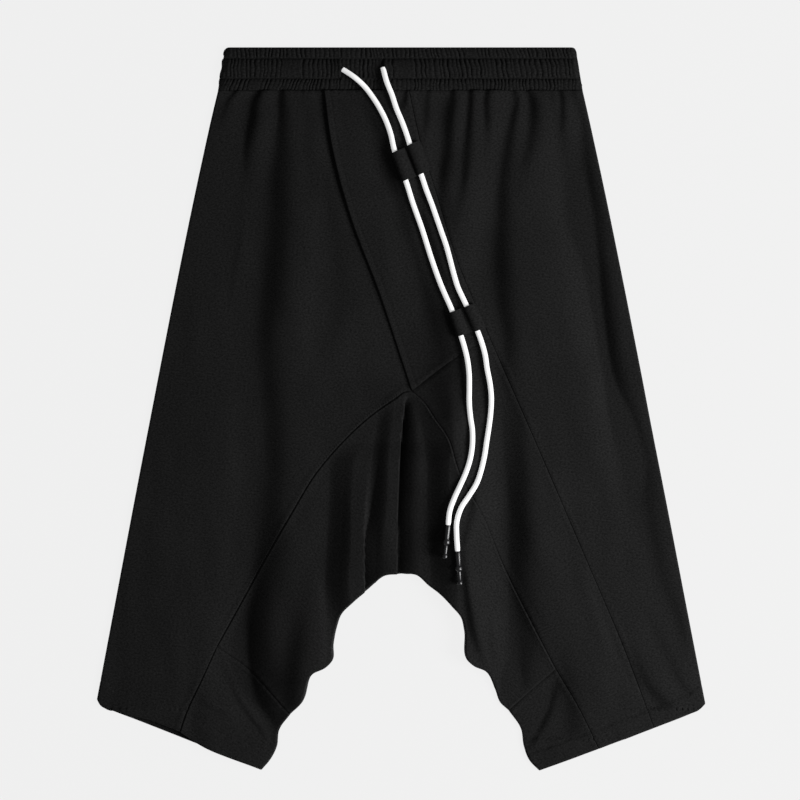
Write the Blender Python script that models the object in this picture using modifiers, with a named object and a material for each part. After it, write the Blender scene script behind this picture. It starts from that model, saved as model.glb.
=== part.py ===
"""Drop-crotch cotton jersey shorts with a drawcord, laid flat on their back, front up.

Frame: +Z out of the front of the garment, +Y towards the waist, +X towards the wearer's left.
The origin is under the middle of the outline, on the surface that the shorts lie on.
A place on the cloth is given the way a cutter measures it, in millimetres: x across from the
centre line, and drop down from the top edge of the waistband. Right and left are the wearer's.
"""
import math
from collections import namedtuple

import bpy
import numpy as np
from mathutils import Vector

MM = 0.001

# ---------------------------------------------------------------- driving dimensions, mm
LENGTH = 722.0                  # top of the waistband to the lowest corner of a leg
WAIST = 350.0                   # top of the waistband laid flat, elastic relaxed
BAND_DEPTH = 43.0               # waistband, top edge to panel seam
CLOTH = 1.2                     # one layer of French terry
BAND_CLOTH = 2.4                # folded band with its elastic
SEAM_GAP = 0.3                  # between neighbouring pieces
ROLL = 5.0                      # width over which a folded side turns down to the back
AIR = 2.5                       # lift of the front off the back, just inside the roll
CROWN = 5.5                     # further lift far from the sides
CROWN_REACH = 70.0              # distance in which most of that lift is gained
WAIST_LIFT = 2.2                # lift of the front panels where they join the band
WAIST_EASE = 45.0               # drop over which the panels swell from the band to full lift
LAP_STEP = 1.4                  # how far the overlay's folded edge stands over the right front
LAP_EASE = 30.0                 # distance in which that step dies out
CORD = 5.5                      # drawcord diameter

# ---------------------------------------------------------------- outline and seams
# Rows of (x, drop).
SIDE_RIGHT = [(-183.4, 43.0), (-190.3, 72.0), (-200.2, 117.0), (-257.2, 402.0), (-304.2, 651.0)]
SIDE_LEFT = [(181.0, 43.0), (187.6, 72.0), (197.4, 117.0), (254.4, 402.0), (303.4, 655.0)]
OVERLAY_FOLD = [(-77.5, 43.0), (-69.5, 99.0), (-50.8, 170.0), (-22.9, 244.0), (10.0, 343.0)]
LONG_SEAM_UPPER = [(7.2, 43.0), (18.5, 94.5), (34.5, 146.0), (53.2, 208.0), (87.5, 290.0)]
LONG_SEAM_LOWER = [(87.5, 290.0), (123.5, 372.0), (184.2, 512.0), (222.5, 602.0), (251.5, 678.8)]
DIAGONAL_SEAM = [(10.0, 343.0), (49.5, 313.0), (87.5, 290.0)]
GUSSET_SEAM_RIGHT = [
    (10.0, 343.0), (3.0, 343.6), (-4.5, 349.0), (-27.5, 365.0), (-67.5, 403.0), (-84.0, 423.0),
    (-111.5, 468.0), (-136.8, 512.0), (-158.5, 551.0), (-184.5, 598.0),
]
GUSSET_SEAM_LEFT = [
    (10.0, 343.0), (21.5, 353.0), (33.0, 370.0), (46.5, 390.0), (55.5, 419.0), (83.0, 471.0),
    (99.5, 512.0), (128.0, 570.5), (153.5, 620.0),
]
LEG_SEAM_RIGHT = [(-184.5, 598.0), (-199.5, 631.0), (-215.0, 664.3), (-221.0, 682.5)]
LEG_SEAM_LEFT = [(153.5, 620.0), (175.5, 657.0), (196.5, 699.7)]
CROSS_SEAM_RIGHT = [(-184.5, 598.0), (-152.5, 621.0), (-110.5, 665.0)]
CROSS_SEAM_LEFT = [(153.5, 620.0), (107.0, 662.0)]
ARCH_RIGHT = [
    (0.0, 525.4), (-16.5, 527.0), (-31.9, 540.0), (-47.5, 553.0), (-60.5, 567.0), (-64.0, 577.0),
    (-67.8, 596.0), (-68.7, 611.5), (-75.0, 618.0), (-87.5, 624.0), (-98.8, 653.0),
    (-110.5, 665.0),
]
ARCH_LEFT = [
    (0.0, 525.4), (15.0, 527.0), (27.0, 537.3), (37.2, 545.0), (50.5, 558.5), (59.5, 569.5),
    (62.5, 582.0), (65.8, 612.0), (72.0, 617.5), (84.5, 623.5), (93.5, 641.0), (98.5, 654.0),
    (107.0, 662.0),
]
INNER_LEG_RIGHT = [(-110.5, 665.0), (-122.3, 682.0), (-124.5, 698.0), (-130.0, 709.5), (-139.5, 721.0)]
INNER_LEG_LEFT = [(107.0, 662.0), (119.5, 681.0), (122.0, 697.0), (127.5, 711.5), (137.5, LENGTH)]
HEM_RIGHT_FRONT = [(-304.2, 651.0), (-301.0, 656.5), (-281.0, 663.5), (-250.0, 671.5), (-221.0, 682.5)]
HEM_RIGHT_INNER = [(-221.0, 682.5), (-208.0, 691.5), (-139.5, 721.0)]
HEM_RIGHT_BACK = [(-304.2, 651.0), (-301.0, 656.8), (-294.0, 660.0), (-263.0, 672.0), (-139.5, 721.0)]
HEM_LEFT_FRONT = [(251.5, 678.8), (288.0, 665.1), (296.0, 661.8), (303.4, 655.0)]
HEM_LEFT_INNER = [(196.5, 699.7), (251.5, 678.8)]
HEM_LEFT_LEG = [(137.5, LENGTH), (196.5, 699.7)]
HEM_LEFT_BACK = [(303.4, 655.0), (296.0, 661.8), (288.0, 665.1), (137.5, LENGTH)]

# ---------------------------------------------------------------- folds
# A fold runs down the cloth from top, past bend, to foot, each an (x, drop). right and left are
# how far its slopes reach, rise is its height (below zero: a trough), and crease is how sharp
# its line is, from 0, a soft swell, to 1, a pressed line.
Fold = namedtuple("Fold", "name top bend foot right left rise crease")
FOLDS = [
    Fold("right pleat 1", (-168.0, 43.0), (-177.0, 60.0), (-188.0, 78.0), 7, 10, -2.0, 0.4),
    Fold("right pleat 2", (-140.5, 43.0), (-153.0, 84.0), (-161.0, 135.0), 9, 13, -3.0, 0.4),
    Fold("right long trough", (-119.5, 43.0), (-124.5, 210.0), (-137.0, 440.0), 20, 27, -5.0, 0.2),
    Fold("right long ridge", (-96.0, 70.0), (-98.0, 230.0), (-106.0, 430.0), 22, 26, 2.2, 0.0),
    Fold("right side ridge", (-150.0, 120.0), (-152.0, 350.0), (-166.0, 620.0), 26, 30, 2.0, 0.0),
    Fold("beside upper tab", (-22.0, 60.0), (-14.0, 110.0), (-8.0, 165.0), 11, 8, -1.8, 0.2),
    Fold("beside lower tab", (12.0, 190.0), (27.0, 262.0), (38.0, 318.0), 14, 12, -2.4, 0.2),
    Fold("left pleat 1", (27.0, 43.0), (26.0, 70.0), (22.0, 96.0), 5, 8, -1.8, 0.5),
    Fold("left pleat 2", (52.0, 43.0), (46.5, 92.0), (37.0, 150.0), 9, 13, -4.0, 0.5),
    Fold("left pleat 3", (69.5, 43.0), (66.5, 100.0), (55.0, 172.0), 9, 14, -4.0, 0.5),
    Fold("left pleat 4", (86.5, 43.0), (84.5, 66.0), (84.5, 96.0), 6, 9, -2.2, 0.5),
    Fold("left long trough", (115.0, 43.0), (98.0, 170.0), (106.0, 335.0), 13, 20, -5.0, 0.4),
    Fold("left pleat 6", (127.0, 43.0), (130.0, 75.0), (126.0, 118.0), 8, 11, -2.6, 0.4),
    Fold("left pleat 7", (159.0, 43.0), (161.5, 62.0), (163.0, 84.0), 7, 9, -3.2, 0.5),
    Fold("left side trough", (177.0, 60.0), (198.0, 260.0), (262.0, 560.0), 18, 20, -3.0, 0.1),
    Fold("left side ridge", (150.0, 90.0), (156.0, 170.0), (172.0, 330.0), 20, 20, 2.4, 0.0),
    Fold("gusset swell", (8.0, 350.0), (-2.0, 450.0), (-4.0, 700.0), 120, 110, 9.0, 0.0),
    Fold("gusset pleat 1", (-62.0, 380.0), (-69.0, 470.0), (-66.0, 640.0), 20, 24, -10.0, 0.4),
    Fold("gusset pleat 2", (-13.0, 360.0), (-25.0, 430.0), (-37.0, 620.0), 18, 17, -12.5, 0.7),
    Fold("gusset pleat 3", (5.0, 350.0), (-2.3, 420.0), (-2.5, 620.0), 15, 16, -15.0, 0.9),
    Fold("gusset pleat 4", (22.0, 362.0), (28.0, 430.0), (31.0, 640.0), 17, 27, -14.0, 0.8),
    Fold("right leg trough", (-150.0, 500.0), (-143.0, 600.0), (-122.0, 735.0), 26, 30, -8.0, 0.1),
    Fold("right leg ridge", (-98.0, 440.0), (-89.0, 540.0), (-84.0, 650.0), 20, 20, 3.0, 0.0),
    Fold("left leg trough", (100.0, 505.0), (118.0, 570.0), (124.0, 660.0), 15, 16, -3.2, 0.1),
    Fold("right hem crease", (-184.0, 590.0), (-165.0, 648.0), (-136.0, 712.0), 11, 13, -3.0, 0.3),
    Fold("left hem crease", (152.0, 625.0), (143.0, 672.0), (132.0, 718.0), 12, 12, -3.6, 0.3),
]
FOLD_FADE = 0.28                # share of a fold's run over which each end dies out
FOLD_KINK = 0.65                # how much of a fold's bend is a corner; the rest is a curve
LEAST_LIFT = 0.4                # the front never sinks closer than this to the back

# ---------------------------------------------------------------- waistband
# Rows of (drop, rise): the rise of the band's underside; stitch lines at 11 and 31 make three
# channels, and the drawcord fills the middle one.
BAND_PROFILE = [
    (0.0, 0.2), (3.0, 1.0), (7.5, 1.1), (11.0, 0.2), (15.0, 2.2), (21.0, 3.0), (27.0, 2.2),
    (31.0, 0.2), (36.0, 1.0), (BAND_DEPTH, 1.0),
]
MOUTH_RIGHT = -60.3             # x where the right cord leaves its channel
MOUTH_LEFT = -17.6              # x where the left cord leaves its channel
CENTRE_LIFT = BAND_CLOTH + SEAM_GAP + 0.8       # the band sags where it holds no cord
GATHER_RISE = 0.35              # coarse gathers of the band
BAND_STATIONS = {"right": 14, "centre": 5, "left": 24, "back": 8}

# ---------------------------------------------------------------- drawcord
# Rows of (x, drop); a row inside a tab is one of that tab's cord points.
CORD_RIGHT_ROUTE = [
    (-58.5, 22.5), (-50.5, 28.0), (-39.5, 37.0), (-31.0, 47.5), (-25.0, 56.0), (-20.0, 65.0),
    (-12.5, 82.0), (-6.5, 106.2), (4.2, 134.4), (10.0, 153.0), (21.0, 184.0), (28.5, 208.0),
    (39.5, 239.0), (50.5, 264.5), (58.8, 288.2), (65.1, 311.0), (67.3, 334.0), (66.9, 348.0),
    (67.5, 362.5), (70.2, 384.0), (69.2, 404.0), (63.1, 425.0), (54.4, 444.0), (48.3, 459.0),
    (46.2, 475.5),
]
CORD_LEFT_ROUTE = [
    (-18.4, 21.0), (-15.5, 33.0), (-10.0, 47.0), (-4.0, 65.0), (3.2, 82.0), (8.3, 98.7),
    (19.4, 127.9), (24.5, 143.0), (29.5, 156.0), (37.5, 179.0), (45.5, 202.5), (50.5, 222.0),
    (57.0, 243.0), (64.8, 259.0), (75.2, 283.4), (82.0, 303.0), (85.5, 324.0), (88.7, 341.0),
    (89.2, 356.0), (87.6, 373.0), (84.9, 391.0), (80.0, 418.0), (72.3, 439.0), (60.3, 456.0),
    (54.9, 471.0), (54.5, 485.0), (55.5, 501.5),
]
CORD_POINT_SPACING = 13.0       # between the points of a cord's curve
CORD_CLEARANCE = 0.7            # cord to cloth
# Rows of (along, radius) from the cord's end: sleeve, ring, neck and rim of the moulded tip.
TIP_PROFILE = [
    (0.0, 2.3), (0.6, 2.7), (14.0, 2.5), (15.5, 3.6), (18.5, 3.6), (20.0, 2.1), (28.5, 2.0),
    (30.0, 2.8), (32.4, 2.8), (33.4, 2.2),
]
TIP_SIDES = 14

# ---------------------------------------------------------------- cord tabs
# Each tab has a row for its upper and its lower end. A row's columns are (x, drop) points on
# that end: its folded edge, the two cords under it, the stitch between them, and the seam that
# both its layers are sewn into.
TabEnd = namedtuple("TabEnd", "edge cord_right stitch cord_left seam")
TABS = {
    "tab_upper": (
        TabEnd((-10.6, 108.3), (-6.5, 106.2), (3.0, 101.4), (8.3, 98.7), (17.8, 93.8)),
        TabEnd((0.0, 136.2), (4.2, 134.4), (14.0, 130.2), (19.4, 127.9), (28.2, 124.1)),
    ),
    "tab_lower": (
        TabEnd((41.5, 268.0), (50.5, 264.5), (58.4, 261.5), (64.8, 259.0), (72.5, 256.0)),
        TabEnd((54.2, 289.6), (58.8, 288.2), (67.4, 285.7), (75.2, 283.4), (83.4, 281.0)),
    ),
}
# Rows of (column, across, rise) of the inner face of the folded strip, from the seam over both
# cords to the folded edge and back underneath: how far it lies from that column's point, and its
# rise above the cord's middle or, at the edge, the stitch and the seam, above the cloth.
TAB_SECTION = [
    ("seam", 0.0, 2.4), ("cord_left", 5.0, 0.4), ("cord_left", 3.3, 2.3), ("cord_left", 0.0, 3.3),
    ("cord_left", -2.6, 2.3), ("cord_left", -3.5, 0.0), ("stitch", 0.7, 2.4), ("stitch", -0.7, 2.4),
    ("cord_right", 5.0, 0.4), ("cord_right", 3.3, 2.3), ("cord_right", 0.0, 3.3),
    ("cord_right", -2.6, 2.3), ("cord_right", -3.5, 0.0), ("cord_right", -2.9, -2.0),
    ("cord_right", -1.0, -3.2), ("stitch", 0.0, 1.9), ("seam", 0.0, 1.9),
]
TAB_STATIONS = 4
TAB_UNDERLAYER = 2.0            # top of a tab's lower layer, above the cloth
TAB_LEAN = 0.38                 # how far a tab's middle moves across for each 1 that it drops
TAB_REACH = 4.0                 # beyond a tab's ends its cords are still fully raised,
TAB_EASE = 14.0                 # and come down to the cloth over this distance

# ---------------------------------------------------------------- how finely the cloth is cut
ROWS_UPPER = 11                 # waist to the end of the overlay
ROWS_GUSSET = 20                # apex to a cross seam
ROWS_LEG = 5                    # cross seam to hem
BACK_ROWS = 8                   # waist to crotch
# Rows of panel: (columns across it, its usual width).
PANELS = {
    "front_right": (9, 180.0),
    "front_centre": (7, 80.0),
    "front_left": (11, 130.0),
    "front_left_inner": (5, 70.0),
    "gusset": (8, 130.0),
    "leg_inner_right": (5, 90.0),
    "leg_inner_left": (5, 70.0),
    "back": (6, 165.0),
}
# Drops at which the rows of an outer panel pass from one inner neighbour to the next.
KNEE_RIGHT = 300.0              # faces the foot of the overlay
KNEE_LEFT = 268.0               # faces the diagonal seam
CUFF_RIGHT = 566.0              # faces a cross seam
CUFF_LEFT = 575.0
HIP_BACK = 400.0                # faces the crotch
CUFF_BACK = 600.0               # faces the top of the inner leg
GUSSET_MEETS = 0.74             # share of the long seam's lower part that faces the gusset
FINE_STEP = 1.0                 # spacing of the points that stand for a smooth line

# Materials: rows of name: (linear colour, roughness).
FINISHES = {
    "cotton_jersey": ((0.012, 0.012, 0.013), 0.95),
    "ribbed_band": ((0.011, 0.011, 0.012), 0.95),
    "cotton_cord": ((0.85, 0.85, 0.83), 0.85),
    "moulded_tip": ((0.006, 0.006, 0.007), 0.25),
}


# ================================================================ lines
class Line:
    """A smooth line through the rows of a table, measured along its length."""

    def __init__(self, rows):
        points = np.array(rows, dtype=float)
        self.points = self.smoothed(points) if len(points) > 2 else self.straight(points)
        steps = np.linalg.norm(np.diff(self.points, axis=0), axis=1)
        self.along = np.concatenate([[0.0], np.cumsum(steps)])
        self.length = self.along[-1]

    @staticmethod
    def straight(points):
        count = max(2, int(np.linalg.norm(points[1] - points[0]) / FINE_STEP))
        return points[0] + (points[1] - points[0]) * np.linspace(0, 1, count)[:, None]

    @staticmethod
    def smoothed(points):
        """Cubic spans whose tangent at each row leans towards the nearer neighbour."""
        spans = np.diff(points, axis=0)
        lengths = np.linalg.norm(spans, axis=1)
        slopes = spans / lengths[:, None]
        tangents = np.empty_like(points)
        tangents[0] = slopes[0]
        tangents[-1] = slopes[-1]
        weights = lengths[1:, None] / (lengths[1:] + lengths[:-1])[:, None]
        tangents[1:-1] = slopes[:-1] * weights + slopes[1:] * (1 - weights)
        pieces = []
        for k, length in enumerate(lengths):
            t = np.linspace(0, 1, max(2, int(length / FINE_STEP)), endpoint=False)[:, None]
            pieces.append(
                points[k] * (1 + 2 * t) * (1 - t) ** 2
                + points[k + 1] * t * t * (3 - 2 * t)
                + tangents[k] * length * t * (1 - t) ** 2
                - tangents[k + 1] * length * t * t * (1 - t)
            )
        return np.vstack(pieces + [points[-1:]])

    def at(self, fractions):
        """Points at fractions of the length."""
        distance = np.asarray(fractions) * self.length
        return np.stack([np.interp(distance, self.along, axis) for axis in self.points.T], axis=1)

    def down(self, start, end, fractions):
        """Points between two drops of a line that falls steadily."""
        drops = start + (end - start) * np.asarray(fractions)
        return np.stack([np.interp(drops, self.points[:, 1], self.points[:, 0]), drops], axis=1)


def even(count):
    """count + 1 fractions from 0 to 1."""
    return np.linspace(0, 1, count + 1)


def denser_first(count):
    """Fractions that lie closer together at the start, where the gusset's pleats are."""
    t = even(count)
    return t * (1 + t) / 2


def joined(*runs):
    """Runs of points end to end, each shared end once."""
    return np.vstack([runs[0]] + [run[1:] for run in runs[1:]])


# ================================================================ height of the cloth
FOLDED_EDGES = [SIDE_RIGHT, SIDE_LEFT, ARCH_RIGHT, ARCH_LEFT, INNER_LEG_RIGHT, INNER_LEG_LEFT]
FOLDED_POINTS = np.vstack([Line(rows).points for rows in FOLDED_EDGES])
OVERLAY_POINTS = Line(OVERLAY_FOLD).points
SEAM_POINTS = Line(LONG_SEAM_UPPER).points
DIAGONAL_POINTS = Line(DIAGONAL_SEAM).points


def nearest(points, targets):
    """Distance from each point to the nearest target."""
    gaps = points[:, None, :] - targets[None, :, :]
    return np.sqrt((gaps ** 2).sum(axis=2).min(axis=1))


def ease(t):
    """0 to 1 with a level start and end."""
    t = np.clip(t, 0, 1)
    return t * t * (3 - 2 * t)


def fold_rise(fold, points):
    """Height that one fold adds at each point."""
    x, drop = points.T
    runs = np.array([fold.top, fold.bend, fold.foot])
    line = np.interp(drop, runs[:, 1], runs[:, 0])
    bow = ease((drop - fold.top[1]) / (fold.foot[1] - fold.top[1]))
    chord = fold.top[0] + (fold.foot[0] - fold.top[0]) * bow
    offset = x - (FOLD_KINK * line + (1 - FOLD_KINK) * chord)
    share = np.abs(offset) / np.where(offset < 0, fold.right, fold.left)
    soft = ease(1 - share)
    sharp = np.clip(1 - share, 0, 1) ** 2
    t = (drop - fold.top[1]) / (fold.foot[1] - fold.top[1])
    open_top = fold.top[1] <= BAND_DEPTH
    start = np.ones_like(t) if open_top else ease(t / FOLD_FADE)
    fade = start * ease((1 - t) / FOLD_FADE) * (t >= 0)
    return fold.rise * fade * (soft * (1 - fold.crease) + sharp * fold.crease)


def front_lift(points, lapped=False):
    """Height of the underside of the front above the resting surface."""
    points = np.asarray(points, dtype=float)
    edge = np.maximum(nearest(points, FOLDED_POINTS) - CLOTH, 0)
    swell = AIR + CROWN * (1 - np.exp(-edge / CROWN_REACH))
    waist = ease((points[:, 1] - BAND_DEPTH) / WAIST_EASE)
    lift = WAIST_LIFT + (swell - WAIST_LIFT) * waist
    for fold in FOLDS:
        lift = lift + fold_rise(fold, points)
    lift = LEAST_LIFT + np.logaddexp(0, (lift - LEAST_LIFT) * 2) / 2
    turn = np.clip(edge / ROLL, 0, 1)
    lift = lift * np.sqrt(1 - (1 - turn) ** 2)
    if lapped:
        lift = lift + LAP_STEP * np.exp(-nearest(points, OVERLAY_POINTS) / LAP_EASE)
    return CLOTH + SEAM_GAP + lift


def front_top(points, lapped=False):
    """Height of the upper face of the front, allowing for its slope."""
    reach = 0.5
    lift = front_lift(points, lapped)
    across = (front_lift(points + (reach, 0), lapped) - front_lift(points - (reach, 0), lapped))
    down = (front_lift(points + (0, reach), lapped) - front_lift(points - (0, reach), lapped))
    return lift + CLOTH * np.sqrt(1 + (across / reach / 2) ** 2 + (down / reach / 2) ** 2)


def is_overlay(points):
    """True where a point lies on the centre overlay panel."""
    x, drop = points.T
    fold = np.interp(drop, OVERLAY_POINTS[:, 1], OVERLAY_POINTS[:, 0])
    seam = np.interp(drop, SEAM_POINTS[:, 1], SEAM_POINTS[:, 0])
    foot = np.interp(x, DIAGONAL_POINTS[:, 0], DIAGONAL_POINTS[:, 1])
    return (x > fold) & (x < seam) & (drop < foot) & (drop > BAND_DEPTH)


def band_lift(drops):
    """Height of the underside of the front band at each drop."""
    profile = np.array(BAND_PROFILE)
    return BAND_CLOTH + SEAM_GAP + np.interp(drops, profile[:, 0], profile[:, 1])


def cloth_top(points):
    """Height of whatever upper face lies at each point: band, overlay or plain front."""
    points = np.asarray(points, dtype=float)
    top = np.where(is_overlay(points), front_top(points, True), front_top(points))
    in_channel_gap = (points[:, 0] > MOUTH_RIGHT) & (points[:, 0] < MOUTH_LEFT)
    band = np.where(in_channel_gap, CENTRE_LIFT, band_lift(points[:, 1])) + BAND_CLOTH
    return np.where(points[:, 1] < BAND_DEPTH, band + GATHER_RISE, top)


def resting(x, drop, radius):
    """Height of the middle of a round cord or tip that rests on the cloth at a point."""
    offsets = [
        (share * radius * math.cos(angle), share * radius * math.sin(angle))
        for share in (0.0, 0.35, 0.7, 0.98)
        for angle in np.linspace(0, 2 * math.pi, 12, endpoint=False)
    ]
    places = np.array([(x + a, drop + b) for a, b in offsets])
    over = np.sqrt(radius ** 2 - (np.array(offsets) ** 2).sum(axis=1))
    return float((cloth_top(places) + over).max())


# ================================================================ meshes
def place(x, drop, height):
    """A point of the garment, in metres in the part's frame."""
    return Vector((x * MM, (LENGTH / 2 - drop) * MM, height * MM))


def material(name):
    """A plain finish from the table of finishes."""
    found = bpy.data.materials.get(name)
    if found:
        return found
    colour, roughness = FINISHES[name]
    made = bpy.data.materials.new(name)
    made.use_nodes = True
    shader = made.node_tree.nodes["Principled BSDF"]
    shader.inputs["Base Color"].default_value = (*colour, 1.0)
    shader.inputs["Roughness"].default_value = roughness
    return made


def add_object(name, data, finish):
    """Link a mesh or a curve as a named object of the garment."""
    data.materials.append(material(finish))
    made = bpy.data.objects.new(name, data)
    bpy.data.collections["cotton_shorts"].objects.link(made)
    return made


def patch(left, right, top=None, bottom=None, columns=None):
    """A grid between four edges: rows run from the left edge to the right one."""
    across = np.asarray(columns)[None, :, None]
    grid = left[:, None, :] * (1 - across) + right[:, None, :] * across
    down = np.linspace(0, 1, len(left))[:, None, None]
    if top is not None:
        grid = grid + (top.at(columns) - grid[0])[None, :, :] * (1 - down) ** 3
    if bottom is not None:
        grid = grid + (bottom.at(columns) - grid[-1])[None, :, :] * down ** 3
    return grid


def sideways(points):
    """Unit vectors square to a run of points, turned a quarter from its direction."""
    tangent = np.gradient(points, axis=0)
    tangent = tangent / np.linalg.norm(tangent, axis=1)[:, None]
    return np.stack([-tangent[:, 1], tangent[:, 0]], axis=1)


def pulled_in(grid, sides, amount):
    """Move the named sides of a grid inwards, square to themselves."""
    pulled = grid.copy()
    edges = {
        "left": ((slice(None), 0), (slice(None), 1)),
        "right": ((slice(None), -1), (slice(None), -2)),
        "top": ((0, slice(None)), (1, slice(None))),
        "bottom": ((-1, slice(None)), (-2, slice(None))),
    }
    for side in sides:
        edge, inner = (grid[at] for at in edges[side])
        square = sideways(edge)
        toward = np.sign(((inner - edge) * square).sum(axis=1).mean())
        pulled[edges[side][0]] += square * amount * toward
    return pulled


def cloth(name, grid, heights, thickness, finish):
    """One layer of cloth: an open surface at its underside, thickened upwards."""
    rows, columns = heights.shape
    points = [
        place(*grid[i, j], heights[i, j]) for i in range(rows) for j in range(columns)
    ]
    faces = [
        (i * columns + j, i * columns + j + 1, (i + 1) * columns + j + 1, (i + 1) * columns + j)
        for i in range(rows - 1)
        for j in range(columns - 1)
    ]
    ahead = points[1] - points[0]
    aside = points[columns] - points[0]
    if ahead.cross(aside).z < 0:
        faces = [face[::-1] for face in faces]
    mesh = bpy.data.meshes.new(name)
    mesh.from_pydata(points, [], faces)
    made = add_object(name, mesh, finish)
    shell = made.modifiers.new("cloth thickness", "SOLIDIFY")
    shell.thickness = thickness * MM
    shell.offset = 1.0
    mesh.shade_smooth()
    return made


def panel(name, grid, sewn, folded=(), lapped=False):
    """A front panel lying in its folds; its outer face is on the outline at a folded side."""
    grid = pulled_in(pulled_in(grid, sewn, SEAM_GAP / 2), folded, CLOTH)
    heights = front_lift(grid.reshape(-1, 2), lapped).reshape(grid.shape[:2])
    return cloth(name, grid, heights, CLOTH, "cotton_jersey")


def columns_of(name, folded=None):
    """Fractions across a panel, with one more where a folded side starts to turn down."""
    count, width = PANELS[name]
    turn = {"start": [ROLL / width], "end": [1 - ROLL / width]}.get(folded, [])
    return np.array(sorted(list(even(count)) + turn))


# ================================================================ the pieces
def fronts():
    """The five front panels and the gusset, which share the points of their seams."""
    upper = even(ROWS_UPPER)
    dense = denser_first(ROWS_GUSSET)
    leg = even(ROWS_LEG)
    side_right = Line(SIDE_RIGHT)
    side_left = Line(SIDE_LEFT)
    fold = Line(OVERLAY_FOLD).at(upper)
    gusset_right = Line(GUSSET_SEAM_RIGHT).at(dense)
    gusset_left = Line(GUSSET_SEAM_LEFT).at(dense)
    leg_right = Line(LEG_SEAM_RIGHT).at(leg)
    leg_left = Line(LEG_SEAM_LEFT).at(leg)
    seam_upper = Line(LONG_SEAM_UPPER).at(upper)
    seam_lower = Line(LONG_SEAM_LOWER)
    below = GUSSET_MEETS + leg * (1 - GUSSET_MEETS)
    seam_lower_points = joined(seam_lower.at(dense * GUSSET_MEETS), seam_lower.at(below))

    outer = joined(
        side_right.down(BAND_DEPTH, KNEE_RIGHT, upper),
        side_right.down(KNEE_RIGHT, CUFF_RIGHT, dense),
        side_right.down(CUFF_RIGHT, SIDE_RIGHT[-1][1], leg),
    )
    columns = columns_of("front_right", folded="start")
    grid = patch(outer, joined(fold, gusset_right, leg_right), None, Line(HEM_RIGHT_FRONT), columns)
    panel("front_right", grid, ("right", "top"), ("left",))

    columns = columns_of("front_centre")
    grid = patch(fold, seam_upper, None, Line(DIAGONAL_SEAM), columns)
    panel("front_centre", grid, ("left", "right", "top", "bottom"), lapped=True)

    columns = columns_of("front_left_inner")
    grid = patch(
        joined(gusset_left, leg_left), seam_lower_points,
        Line(DIAGONAL_SEAM), Line(HEM_LEFT_INNER), columns,
    )
    panel("front_left_inner", grid, ("left", "right", "top"))

    outer = joined(
        side_left.down(BAND_DEPTH, KNEE_LEFT, upper),
        side_left.down(KNEE_LEFT, CUFF_LEFT, dense),
        side_left.down(CUFF_LEFT, SIDE_LEFT[-1][1], leg),
    )
    columns = columns_of("front_left", folded="end")
    grid = patch(joined(seam_upper, seam_lower_points), outer, None, Line(HEM_LEFT_FRONT), columns)
    panel("front_left", grid, ("left", "top"), ("right",))

    arch = joined(Line(ARCH_RIGHT).at(dense)[::-1], Line(ARCH_LEFT).at(dense))
    seam = joined(gusset_right[::-1], gusset_left)
    columns = columns_of("gusset", folded="end")
    grid = patch(seam, arch, Line(CROSS_SEAM_RIGHT), Line(CROSS_SEAM_LEFT), columns)
    panel("gusset", grid, ("left", "top", "bottom"), ("right",))

    columns = columns_of("leg_inner_right", folded="end")
    grid = patch(
        leg_right, Line(INNER_LEG_RIGHT).at(leg),
        Line(CROSS_SEAM_RIGHT), Line(HEM_RIGHT_INNER), columns,
    )
    panel("leg_inner_right", grid, ("left", "top"), ("right",))

    columns = columns_of("leg_inner_left", folded="start")
    grid = patch(
        Line(INNER_LEG_LEFT).at(leg), leg_left,
        Line(CROSS_SEAM_LEFT[::-1]), Line(HEM_LEFT_LEG), columns,
    )
    panel("leg_inner_left", grid, ("right", "top"), ("left",))


def backs():
    """Two plain back panels, flat on the surface, joined down the middle of the back."""
    crotch_drop = ARCH_RIGHT[0][1]
    upper = even(BACK_ROWS)
    arch = even(BACK_ROWS * 2)
    leg = even(ROWS_LEG)
    centre = Line([(0.0, BAND_DEPTH), (0.0, crotch_drop)]).at(upper)
    sides = {
        "back_right": (SIDE_RIGHT, ARCH_RIGHT, INNER_LEG_RIGHT, HEM_RIGHT_BACK),
        "back_left": (SIDE_LEFT, ARCH_LEFT, INNER_LEG_LEFT, HEM_LEFT_BACK),
    }
    for name, (side, crotch, inner_leg, hem) in sides.items():
        side = Line(side)
        outer = joined(
            side.down(BAND_DEPTH, HIP_BACK, upper),
            side.down(HIP_BACK, CUFF_BACK, arch),
            side.down(CUFF_BACK, side.points[-1][1], leg),
        )
        inner = joined(centre, Line(crotch).at(arch), Line(inner_leg).at(leg))
        grid = patch(outer, inner, None, Line(hem), columns_of("back", folded="start"))
        grid = pulled_in(grid, ("right", "top"), SEAM_GAP / 2)
        cloth(name, grid, np.zeros(grid.shape[:2]), CLOTH, "cotton_jersey")


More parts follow.
